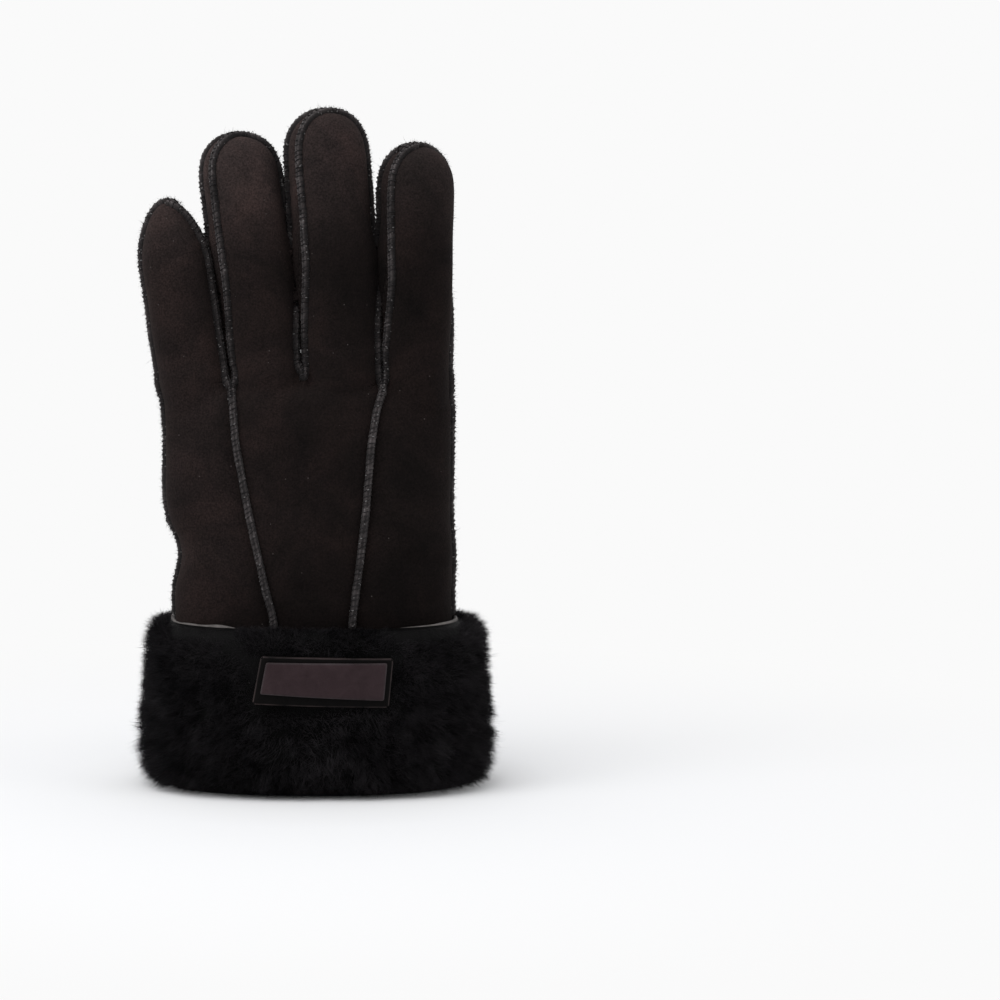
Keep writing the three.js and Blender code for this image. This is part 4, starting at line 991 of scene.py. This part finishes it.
def plate(name, places, thick, off, corners):
    """places: the four corners, along and up, from the low left one round against the clock."""
    wide = (places[1][0] - places[0][0] + places[2][0] - places[3][0]) / 2
    high = (places[2][1] - places[1][1] + places[3][1] - places[0][1]) / 2
    clear()
    bpy.ops.mesh.primitive_plane_add(size=1, location=(0, 0, 0))
    piece = bpy.context.object
    piece.name = name
    bpy.ops.object.transform_apply(location=True, rotation=True, scale=True)
    bpy.ops.object.mode_set(mode="EDIT")
    bpy.ops.mesh.select_all(action="SELECT")
    bpy.ops.transform.resize(value=(wide * MM, high * MM, 1))
    bpy.ops.mesh.bevel(offset=corners * MM, segments=4, affect="VERTICES")
    bpy.ops.mesh.select_all(action="SELECT")
    bpy.ops.mesh.extrude_region_move(TRANSFORM_OT_translate={"value": (0, 0, thick * MM)})
    bpy.ops.mesh.inset(thickness=0.45 * MM, depth=0.0)
    bpy.ops.transform.translate(value=(0, 0, 0.28 * MM))
    bpy.ops.mesh.select_all(action="SELECT")
    for k in range(1, 24):
        x = (k / 24 - 0.5) * wide * MM
        bpy.ops.mesh.select_all(action="SELECT")
        bpy.ops.mesh.bisect(plane_co=(x, 0, 0), plane_no=(1, 0, 0))
    for k in range(1, 8):
        y = (k / 8 - 0.5) * high * MM
        bpy.ops.mesh.select_all(action="SELECT")
        bpy.ops.mesh.bisect(plane_co=(0, y, 0), plane_no=(0, 1, 0))
    bpy.ops.mesh.select_all(action="SELECT")
    bpy.ops.mesh.normals_make_consistent(inside=False)
    bpy.ops.object.mode_set(mode="OBJECT")
    for face in piece.data.polygons:
        x, up = face.center[0] / MM, face.center[1] / MM
        face.material_index = int(wide / 2 - abs(x) < 0.4 or high / 2 - abs(up) < 0.4)
    spots = read(piece.data) / MM
    x, up, out = spots.T
    lift = 0.5 * np.array([noise.noise(Vector((a / 16, b / 16, 2.2))) for a, b in zip(x, up)])
    u, v = x / wide + 0.5, up / high + 0.5
    along, height = (sum(rate * place[k] for rate, place in
                         zip(((1 - u) * (1 - v), u * (1 - v), u * v, (1 - u) * v), places)) for k in (0, 1))
    middle, half, deep = hand_section(0.0)
    face = -reach(deep + LABEL_OUT, half + LABEL_OUT, along - middle, SECTION_POWER)
    write(piece.data, np.stack([along, face - off - out - lift, height], axis=1) * MM)
    only(piece)
    bpy.ops.object.shade_smooth_by_angle(angle=math.radians(40))
    return piece


label_bed = plate("label_leather_bed", [(-22.7, 35.0), (26.5, 33.6), (28.1, 51.4), (-19.5, 52.4)], 1.3, 0.5, 1.2)
label_patch = plate("label_leather_patch", [(-19.8, 38.9), (24.7, 36.3), (25.9, 49.9), (-17.6, 50.3)], 1.0, 2.0, 0.7)
print("label", len(label_bed.data.polygons), len(label_patch.data.polygons))

# %% [markdown]
# ## Move everything into the frame
# Until now the glove was built round the middle of its wrist. One move puts each mesh where the CAD model lies.

# %% Into the frame
built = (list(panels.values()) + list(seams.values()) + list(threads.values())
         + [fuzz, backing, rim, label_bed, label_patch])
built += list(pile.values())
for piece in built:
    write(piece.data, read(piece.data) + MIDDLE * MM)
print("moved", len(built), "pieces")


# %% [markdown]
# ## Shared effects for the leathers
# Suede has a nap: fine fibres that lie this way and that, so it clouds where it was stroked. One node group gives a
# clouded colour mask and the height of the fibres, and every leather uses it with its own values.


# %% Node groups
def new_group(name, inputs, outputs):
    group = bpy.data.node_groups.new(name, "ShaderNodeTree")
    for label, kind, value in inputs:
        socket = group.interface.new_socket(label, in_out="INPUT", socket_type=kind)
        if value is not None:
            socket.default_value = value
    for label, kind in outputs:
        group.interface.new_socket(label, in_out="OUTPUT", socket_type=kind)
    source, sink = group.nodes.new("NodeGroupInput"), group.nodes.new("NodeGroupOutput")
    return group, source, sink


def add(tree, kind, links=None, **values):
    node = tree.nodes.new(kind)
    for key, value in values.items():
        if key in node.inputs.keys():
            node.inputs[key].default_value = value
        else:
            setattr(node, key, value)
    for key, socket in (links or {}).items():
        tree.links.new(socket, node.inputs[key])
    return node


def nap_group():
    group, source, sink = new_group(
        "nap", [("Vector", "NodeSocketVector", None), ("Cloud Scale", "NodeSocketFloat", 45.0),
                ("Fibre Scale", "NodeSocketFloat", 1500.0)],
        [("Cloud", "NodeSocketFloat"), ("Fibre", "NodeSocketFloat"), ("Height", "NodeSocketFloat")])
    cloud = add(group, "ShaderNodeTexNoise",
                {"Vector": source.outputs["Vector"], "Scale": source.outputs["Cloud Scale"]},
                Detail=5.0, Roughness=0.6, Distortion=0.6)
    fibre = add(group, "ShaderNodeTexNoise", {"Vector": source.outputs["Vector"],
                                              "Scale": source.outputs["Fibre Scale"]}, Detail=3.0, Roughness=0.7)
    mid = add(group, "ShaderNodeTexNoise", {"Vector": source.outputs["Vector"]}, Scale=420.0, Detail=4.0,
              Roughness=0.65)
    height = add(group, "ShaderNodeMath", {0: fibre.outputs["Fac"], 1: mid.outputs["Fac"]}, operation="ADD")
    group.links.new(cloud.outputs["Fac"], sink.inputs["Cloud"])
    group.links.new(fibre.outputs["Fac"], sink.inputs["Fibre"])
    group.links.new(height.outputs[0], sink.inputs["Height"])
    return group


def lint_group():
    group, source, sink = new_group("lint", [("Vector", "NodeSocketVector", None), ("Scale", "NodeSocketFloat", 260.0),
                                             ("Amount", "NodeSocketFloat", 0.06)],
                                    [("Mask", "NodeSocketFloat")])
    cells = add(group, "ShaderNodeTexVoronoi", {"Vector": source.outputs["Vector"],
                                                "Scale": source.outputs["Scale"]}, feature="F1")
    near = add(group, "ShaderNodeMath", {0: cells.outputs["Distance"], 1: source.outputs["Amount"]},
               operation="LESS_THAN")
    group.links.new(near.outputs[0], sink.inputs["Mask"])
    return group


def nap_and_painted_light_group():
    """Painted light and shade, with some nap: pale towards the fingertips and the little finger, dark over the index
    side.
    """
    group, source, sink = new_group("nap_and_painted_light", [("Vector", "NodeSocketVector", None)], [("Rate", "NodeSocketFloat")])
    place = add(group, "ShaderNodeSeparateXYZ", {"Vector": source.outputs["Vector"]})
    rates = []
    # painted light from above and the left: up to 2.9 times paler at the fingertips, 1.15 over the little finger's
    # side falling to 0.64 over the index side, and darker low down above the cuff
    for axis, low, high, start, end in (("Z", 0.184, 0.237, 1.0, 2.9), ("X", -0.058, 0.03, 1.15, 0.64),
                                        ("Z", 0.06, 0.105, 0.72, 1.0)):
        rate = add(group, "ShaderNodeMapRange", {"Value": place.outputs[axis]}, interpolation_type="SMOOTHSTEP")
        for key, value in (("From Min", low), ("From Max", high), ("To Min", start), ("To Max", end)):
            rate.inputs[key].default_value = value
        rates.append(rate.outputs["Result"])
    both = add(group, "ShaderNodeMath", {0: rates[0], 1: rates[1]}, operation="MULTIPLY")
    both = add(group, "ShaderNodeMath", {0: both.outputs[0], 1: rates[2]}, operation="MULTIPLY")
    wave = add(group, "ShaderNodeTexNoise", {"Vector": source.outputs["Vector"]}, Scale=22.0, Detail=3.0,
               Roughness=0.5)
    spread = add(group, "ShaderNodeMapRange", {"Value": wave.outputs["Fac"]})
    for key, value in (("From Min", 0.3), ("From Max", 0.7), ("To Min", 0.82), ("To Max", 1.18)):
        spread.inputs[key].default_value = value
    rate = add(group, "ShaderNodeMath", {0: both.outputs[0], 1: spread.outputs["Result"]}, operation="MULTIPLY")
    group.links.new(rate.outputs[0], sink.inputs["Rate"])
    return group


NAP, LINT, NAP_AND_PAINTED_LIGHT = nap_group(), lint_group(), nap_and_painted_light_group()


def start_material(name):
    material = bpy.data.materials.new(name)
    material.use_nodes = True
    tree = material.node_tree
    tree.nodes.clear()
    shader = tree.nodes.new("ShaderNodeBsdfPrincipled")
    output = tree.nodes.new("ShaderNodeOutputMaterial")
    tree.links.new(shader.outputs[0], output.inputs[0])
    place = tree.nodes.new("ShaderNodeTexCoord")
    return material, tree, shader, place.outputs["Object"]


def use_group(tree, group, vector, **values):
    node = tree.nodes.new("ShaderNodeGroup")
    node.node_tree = group
    tree.links.new(vector, node.inputs["Vector"])
    for key, value in values.items():
        node.inputs[key.replace("_", " ")].default_value = value
    return node


def ramp(tree, fac, stops):
    node = tree.nodes.new("ShaderNodeValToRGB")
    while len(node.color_ramp.elements) < len(stops):
        node.color_ramp.elements.new(0.5)
    for element, (at, colour) in zip(node.color_ramp.elements, stops):
        element.position = at
        element.color = (*colour, 1)
    tree.links.new(fac, node.inputs["Fac"])
    return node.outputs["Color"]


def mix(tree, fac, a, b):
    node = tree.nodes.new("ShaderNodeMix")
    node.data_type = "RGBA"
    for socket, value in (("Factor", fac), ("A", a), ("B", b)):
        target = [s for s in node.inputs
                  if s.name == socket and (s.type == "RGBA" or socket == "Factor" and s.type == "VALUE")][0]
        if isinstance(value, (float, int)):
            target.default_value = value
        elif isinstance(value, tuple):
            target.default_value = (*value, 1)
        else:
            tree.links.new(value, target)
    return [s for s in node.outputs if s.type == "RGBA"][0]


def multiply(tree, colour, rate):
    node = tree.nodes.new("ShaderNodeMix")
    node.data_type = "RGBA"
    node.blend_type = "MULTIPLY"
    node.inputs[0].default_value = 1.0
    sockets = [s for s in node.inputs if s.type == "RGBA"]
    tree.links.new(colour, sockets[0])
    tree.links.new(rate, sockets[1])
    return [s for s in node.outputs if s.type == "RGBA"][0]


print("groups", [g.name for g in (NAP, LINT, NAP_AND_PAINTED_LIGHT)])

# %% [markdown]
# ## Suede, seam edges, thread, wool and label leather
# The suede is a brown black that leans to plum where the light grazes it. Sheen gives the nap its soft edge, and
# painted light and shade make it paler towards the fingertips and the little finger and darker over the index side.
# The seams show a greyer cut edge with a painted highlight along the crest, the wool is nearly black with painted
# shade on the backing under the pile, and the label's patch is smooth dark brown leather.


# %% Materials
def suede_material():
    material, tree, shader, place = start_material("suede")
    nap = use_group(tree, NAP, place, Cloud_Scale=38.0, Fibre_Scale=1500.0)
    lint = use_group(tree, LINT, place, Scale=170.0, Amount=0.035)
    base = ramp(tree, nap.outputs["Cloud"], [(0.3, (0.0055, 0.0046, 0.0045)), (0.5, (0.0105, 0.0078, 0.0075)),
                                             (0.72, (0.0175, 0.0118, 0.011))])
    fibre = ramp(tree, nap.outputs["Fibre"], [(0.35, (0.52, 0.52, 0.52)), (0.7, (1.48, 1.42, 1.42))])
    nap_and_painted_light = use_group(tree, NAP_AND_PAINTED_LIGHT, place)
    # base colour times the fibres, times the painted light and shade by place from the group above
    colour_with_painted_light = multiply(tree, multiply(tree, base, fibre), nap_and_painted_light.outputs["Rate"])
    colour = mix(tree, lint.outputs["Mask"], colour_with_painted_light, (0.06, 0.052, 0.05))
    tree.links.new(colour, shader.inputs["Base Color"])
    bump = add(tree, "ShaderNodeBump", {"Height": nap.outputs["Height"]}, Strength=0.45, Distance=0.0006)
    tree.links.new(bump.outputs[0], shader.inputs["Normal"])
    shader.inputs["Roughness"].default_value = 0.95
    shader.inputs["Specular IOR Level"].default_value = 0.04
    shader.inputs["Sheen Weight"].default_value = 0.02
    shader.inputs["Sheen Roughness"].default_value = 0.6
    shader.inputs["Sheen Tint"].default_value = (0.75, 0.62, 0.6, 1)
    return material


def edge_material():
    material, tree, shader, place = start_material("suede_edge")
    nap = use_group(tree, NAP, place, Cloud_Scale=160.0, Fibre_Scale=2200.0)
    lint = use_group(tree, LINT, place, Scale=600.0, Amount=0.17)
    base = ramp(tree, nap.outputs["Cloud"], [(0.32, (0.008, 0.0075, 0.0078)), (0.55, (0.02, 0.018, 0.0185)),
                                             (0.75, (0.042, 0.038, 0.039))])
    crest_highlight = add(tree, "ShaderNodeAttribute", attribute_name="crest_highlight")
    # painted highlight: the colour goes from 0.8 times on the seam's flanks to 3.1 times on its crest
    colour_with_painted_light = multiply(tree, base, ramp(tree, crest_highlight.outputs["Fac"],
                                     [(0.0, (0.8, 0.76, 0.75)), (0.5, (1.3, 1.25, 1.23)), (1.0, (3.1, 3.05, 3.0))]))
    colour = mix(tree, lint.outputs["Mask"], colour_with_painted_light, (0.11, 0.105, 0.105))
    tree.links.new(colour, shader.inputs["Base Color"])
    bump = add(tree, "ShaderNodeBump", {"Height": nap.outputs["Height"]}, Strength=0.6, Distance=0.0005)
    tree.links.new(bump.outputs[0], shader.inputs["Normal"])
    shader.inputs["Roughness"].default_value = 0.85
    shader.inputs["Specular IOR Level"].default_value = 0.1
    shader.inputs["Sheen Weight"].default_value = 0.05
    return material


def thread_material():
    material, tree, shader, place = start_material("thread")
    nap = use_group(tree, NAP, place, Cloud_Scale=300.0, Fibre_Scale=3000.0)
    lint = use_group(tree, LINT, place, Scale=430.0, Amount=0.2)
    base = ramp(tree, nap.outputs["Cloud"], [(0.3, (0.007, 0.0065, 0.007)), (0.7, (0.022, 0.02, 0.021))])
    colour = mix(tree, lint.outputs["Mask"], base, (0.13, 0.125, 0.125))
    tree.links.new(colour, shader.inputs["Base Color"])
    bump = add(tree, "ShaderNodeBump", {"Height": nap.outputs["Fibre"]}, Strength=0.3, Distance=0.0002)
    tree.links.new(bump.outputs[0], shader.inputs["Normal"])
    shader.inputs["Roughness"].default_value = 0.6
    shader.inputs["Specular IOR Level"].default_value = 0.12
    return material


def wool_material(name, low, high):
    material, tree, shader, place = start_material(name)
    nap = use_group(tree, NAP, place, Cloud_Scale=60.0, Fibre_Scale=900.0)
    colour = ramp(tree, nap.outputs["Cloud"], [(0.3, low), (0.72, high)])
    tree.links.new(colour, shader.inputs["Base Color"])
    bump = add(tree, "ShaderNodeBump", {"Height": nap.outputs["Height"]}, Strength=0.5, Distance=0.001)
    tree.links.new(bump.outputs[0], shader.inputs["Normal"])
    shader.inputs["Roughness"].default_value = 0.55
    shader.inputs["Specular IOR Level"].default_value = 0.05
    return material


def leather_material(name, low, high, roughness, specular):
    material, tree, shader, place = start_material(name)
    nap = use_group(tree, NAP, place, Cloud_Scale=130.0, Fibre_Scale=1800.0)
    cells = add(tree, "ShaderNodeTexVoronoi", {"Vector": place}, Scale=1500.0, feature="DISTANCE_TO_EDGE")
    colour = ramp(tree, nap.outputs["Cloud"], [(0.3, low), (0.7, high)])
    tree.links.new(colour, shader.inputs["Base Color"])
    bump = add(tree, "ShaderNodeBump", {"Height": cells.outputs["Distance"]}, Strength=0.35, Distance=0.0003)
    tree.links.new(bump.outputs[0], shader.inputs["Normal"])
    rough = ramp(tree, nap.outputs["Cloud"], [(0.3, (roughness - 0.08,) * 3), (0.7, (roughness + 0.1,) * 3)])
    tree.links.new(rough, shader.inputs["Roughness"])
    shader.inputs["Specular IOR Level"].default_value = specular
    return material


SUEDE, EDGE, THREAD = suede_material(), edge_material(), thread_material()
WOOL = wool_material("wool", (0.0055, 0.0052, 0.006), (0.029, 0.0265, 0.029))
SEAM_WOOL = wool_material("seam_wool", (0.007, 0.0055, 0.0054), (0.03, 0.022, 0.021))
# the backing under the pile is several times darker than the pile's wool: painted shade among the hair roots
BACKING_WOOL = wool_material("wool_backing", (0.0012, 0.0011, 0.0012), (0.0028, 0.0026, 0.0028))
BED = leather_material("label_leather", (0.0012, 0.001, 0.001), (0.003, 0.0024, 0.0024), 0.55, 0.05)
BED_EDGE = leather_material("label_edge", (0.0015, 0.0012, 0.0012), (0.032, 0.023, 0.023), 0.5, 0.1)
PATCH_EDGE = leather_material("patch_edge", (0.015, 0.009, 0.01), (0.042, 0.033, 0.036), 0.5, 0.12)
PATCH = leather_material("patch_leather", (0.018, 0.0098, 0.0115), (0.031, 0.0185, 0.0212), 0.46, 0.12)
CUT = leather_material("cut_edge", (0.032, 0.029, 0.028), (0.15, 0.138, 0.134), 0.6, 0.1)


def dress(piece, material):
    """The faces keep their slots, as clearing a mesh's materials would set them all to the first."""
    if piece.data.materials:
        piece.data.materials[0] = material
    else:
        piece.data.materials.append(material)


# %% Dress, ride and replace
for name, piece in panels.items():
    dress(piece, SUEDE)
    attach(piece, "root")
    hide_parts(name)
for node, piece in seams.items():
    dress(piece, EDGE)
    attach(piece, "root")
    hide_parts(node)
for piece in threads.values():
    dress(piece, THREAD)
    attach(piece, "root")
for piece in [fuzz, backing] + list(pile.values()):
    dress(piece, {fuzz: SEAM_WOOL, backing: BACKING_WOOL}.get(piece, WOOL))
    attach(piece, "root")
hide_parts("fur_cuff")
for piece, material, node, slot in ((label_bed, BED, "label_bed", "label_leather"),
                                    (label_patch, PATCH, "label_patch", "patch_leather")):
    dress(piece, material)
    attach(piece, "root")
    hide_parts(node)
    piece.data.materials.append(BED_EDGE if piece is label_bed else PATCH_EDGE)
dress(rim, CUT)
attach(rim, "root")

# %% [markdown]
# ## Floor, light and camera
# The glove stands on a pale sweep under broad, soft light, as in a product photo. The camera looks slightly down
# from far away, so upright lines stay upright.

# %% Floor
clear()
bpy.ops.mesh.primitive_plane_add(size=1, location=(0, 0, 0))
floor = bpy.context.object
floor.name = "floor"
bpy.ops.transform.resize(value=(9, 4, 1))
bpy.ops.object.transform_apply(location=True, rotation=True, scale=True)
bpy.ops.object.mode_set(mode="EDIT")
bpy.ops.mesh.select_mode(type="EDGE")
bpy.ops.mesh.select_all(action="DESELECT")
bpy.ops.object.mode_set(mode="OBJECT")
for edge in floor.data.edges:
    edge.select = all(floor.data.vertices[v].co.y > 1 for v in edge.vertices)
bpy.ops.object.mode_set(mode="EDIT")
for k in range(1, 13):
    rise = math.radians(90 * k / 13)
    bpy.ops.mesh.extrude_region_move(TRANSFORM_OT_translate={"value": (0, 0.16 * math.cos(rise),
                                                                       0.16 * math.sin(rise))})
bpy.ops.mesh.extrude_region_move(TRANSFORM_OT_translate={"value": (0, 0, 3)})
bpy.ops.object.mode_set(mode="OBJECT")
bpy.ops.object.shade_smooth()
material, tree, shader, place = start_material("floor")
where = add(tree, "ShaderNodeVectorMath", {"Vector": place}, operation="LENGTH")
far = add(tree, "ShaderNodeMapRange", {"Value": where.outputs["Value"]}, interpolation_type="SMOOTHSTEP")
for key, value in (("From Min", 0.03), ("From Max", 0.36), ("To Min", 0.0), ("To Max", 1.0)):
    far.inputs[key].default_value = value
tree.links.new(ramp(tree, far.outputs["Result"], [(0.0, (0.74, 0.744, 0.755)), (0.09, (0.5, 0.503, 0.513)),
                                                  (1.0, (0.0, 0.0, 0.0))]), shader.inputs["Base Color"])
tree.links.new(ramp(tree, far.outputs["Result"], [(0.0, (0.0, 0.0, 0.0)), (0.09, (0.3, 0.303, 0.308)),
                                                  (1.0, (0.956, 0.956, 0.956))]), shader.inputs["Emission Color"])
shader.inputs["Emission Strength"].default_value = 1.0
shader.inputs["Roughness"].default_value = 0.9
shader.inputs["Specular IOR Level"].default_value = 0.0
dress(floor, material)

# %% Light
world = bpy.data.worlds.new("studio")
bpy.context.scene.world = world
world.use_nodes = True
tree = world.node_tree
direction = add(tree, "ShaderNodeTexCoord").outputs["Generated"]
parts_of_direction = add(tree, "ShaderNodeSeparateXYZ", {"Vector": direction})
behind = add(tree, "ShaderNodeMapRange", {"Value": parts_of_direction.outputs["Y"]})
for key, value in (("From Min", -0.75), ("From Max", 0.25), ("To Min", 0.3), ("To Max", 1.0)):
    behind.inputs[key].default_value = value
behind.interpolation_type = "SMOOTHSTEP"
tree.links.new(behind.outputs["Result"], tree.nodes["Background"].inputs["Strength"])
tree.nodes["Background"].inputs["Color"].default_value = (1.0, 1.0, 1.0, 1)


def area(name, place, target, size, power):
    light = bpy.data.lights.new(name, "AREA")
    light.shape = "RECTANGLE"
    light.size, light.size_y = size
    light.energy = power
    lamp = bpy.data.objects.new(name, light)
    bpy.context.scene.collection.objects.link(lamp)
    lamp.location = place
    lamp.rotation_euler = (Vector(target) - Vector(place)).to_track_quat("-Z", "Y").to_euler()
    return lamp


area("top_softbox", (-0.35, -0.5, 1.3), (0, 0, 0.12), (1.2, 1.0), 11)
area("left_softbox", (-1.1, -0.7, 0.6), (0, 0, 0.14), (0.8, 1.0), 7)
area("right_softbox", (1.1, -0.6, 0.5), (0, 0, 0.12), (0.7, 1.0), 4)

# %% Camera
camera_data = bpy.data.cameras.new("camera")
camera = bpy.data.objects.new("camera", camera_data)
bpy.context.scene.collection.objects.link(camera)
ELEVATION, DISTANCE = math.radians(5.0), 1.25
target = Vector((0.0, 0.0, 0.126))
camera.location = target + Vector((0, -math.cos(ELEVATION), math.sin(ELEVATION))) * DISTANCE
camera.rotation_euler = (target - camera.location).to_track_quat("-Z", "Y").to_euler()
camera_data.sensor_width = 36
camera_data.sensor_fit = "HORIZONTAL"
VIEW_WIDTH = 0.3684
camera_data.lens = 36 * DISTANCE / VIEW_WIDTH
camera_data.shift_x = 0.191
camera_data.shift_y = -0.058
bpy.context.scene.camera = camera
bpy.context.scene.view_settings.view_transform = "Standard"
print("lens", round(camera_data.lens, 1))
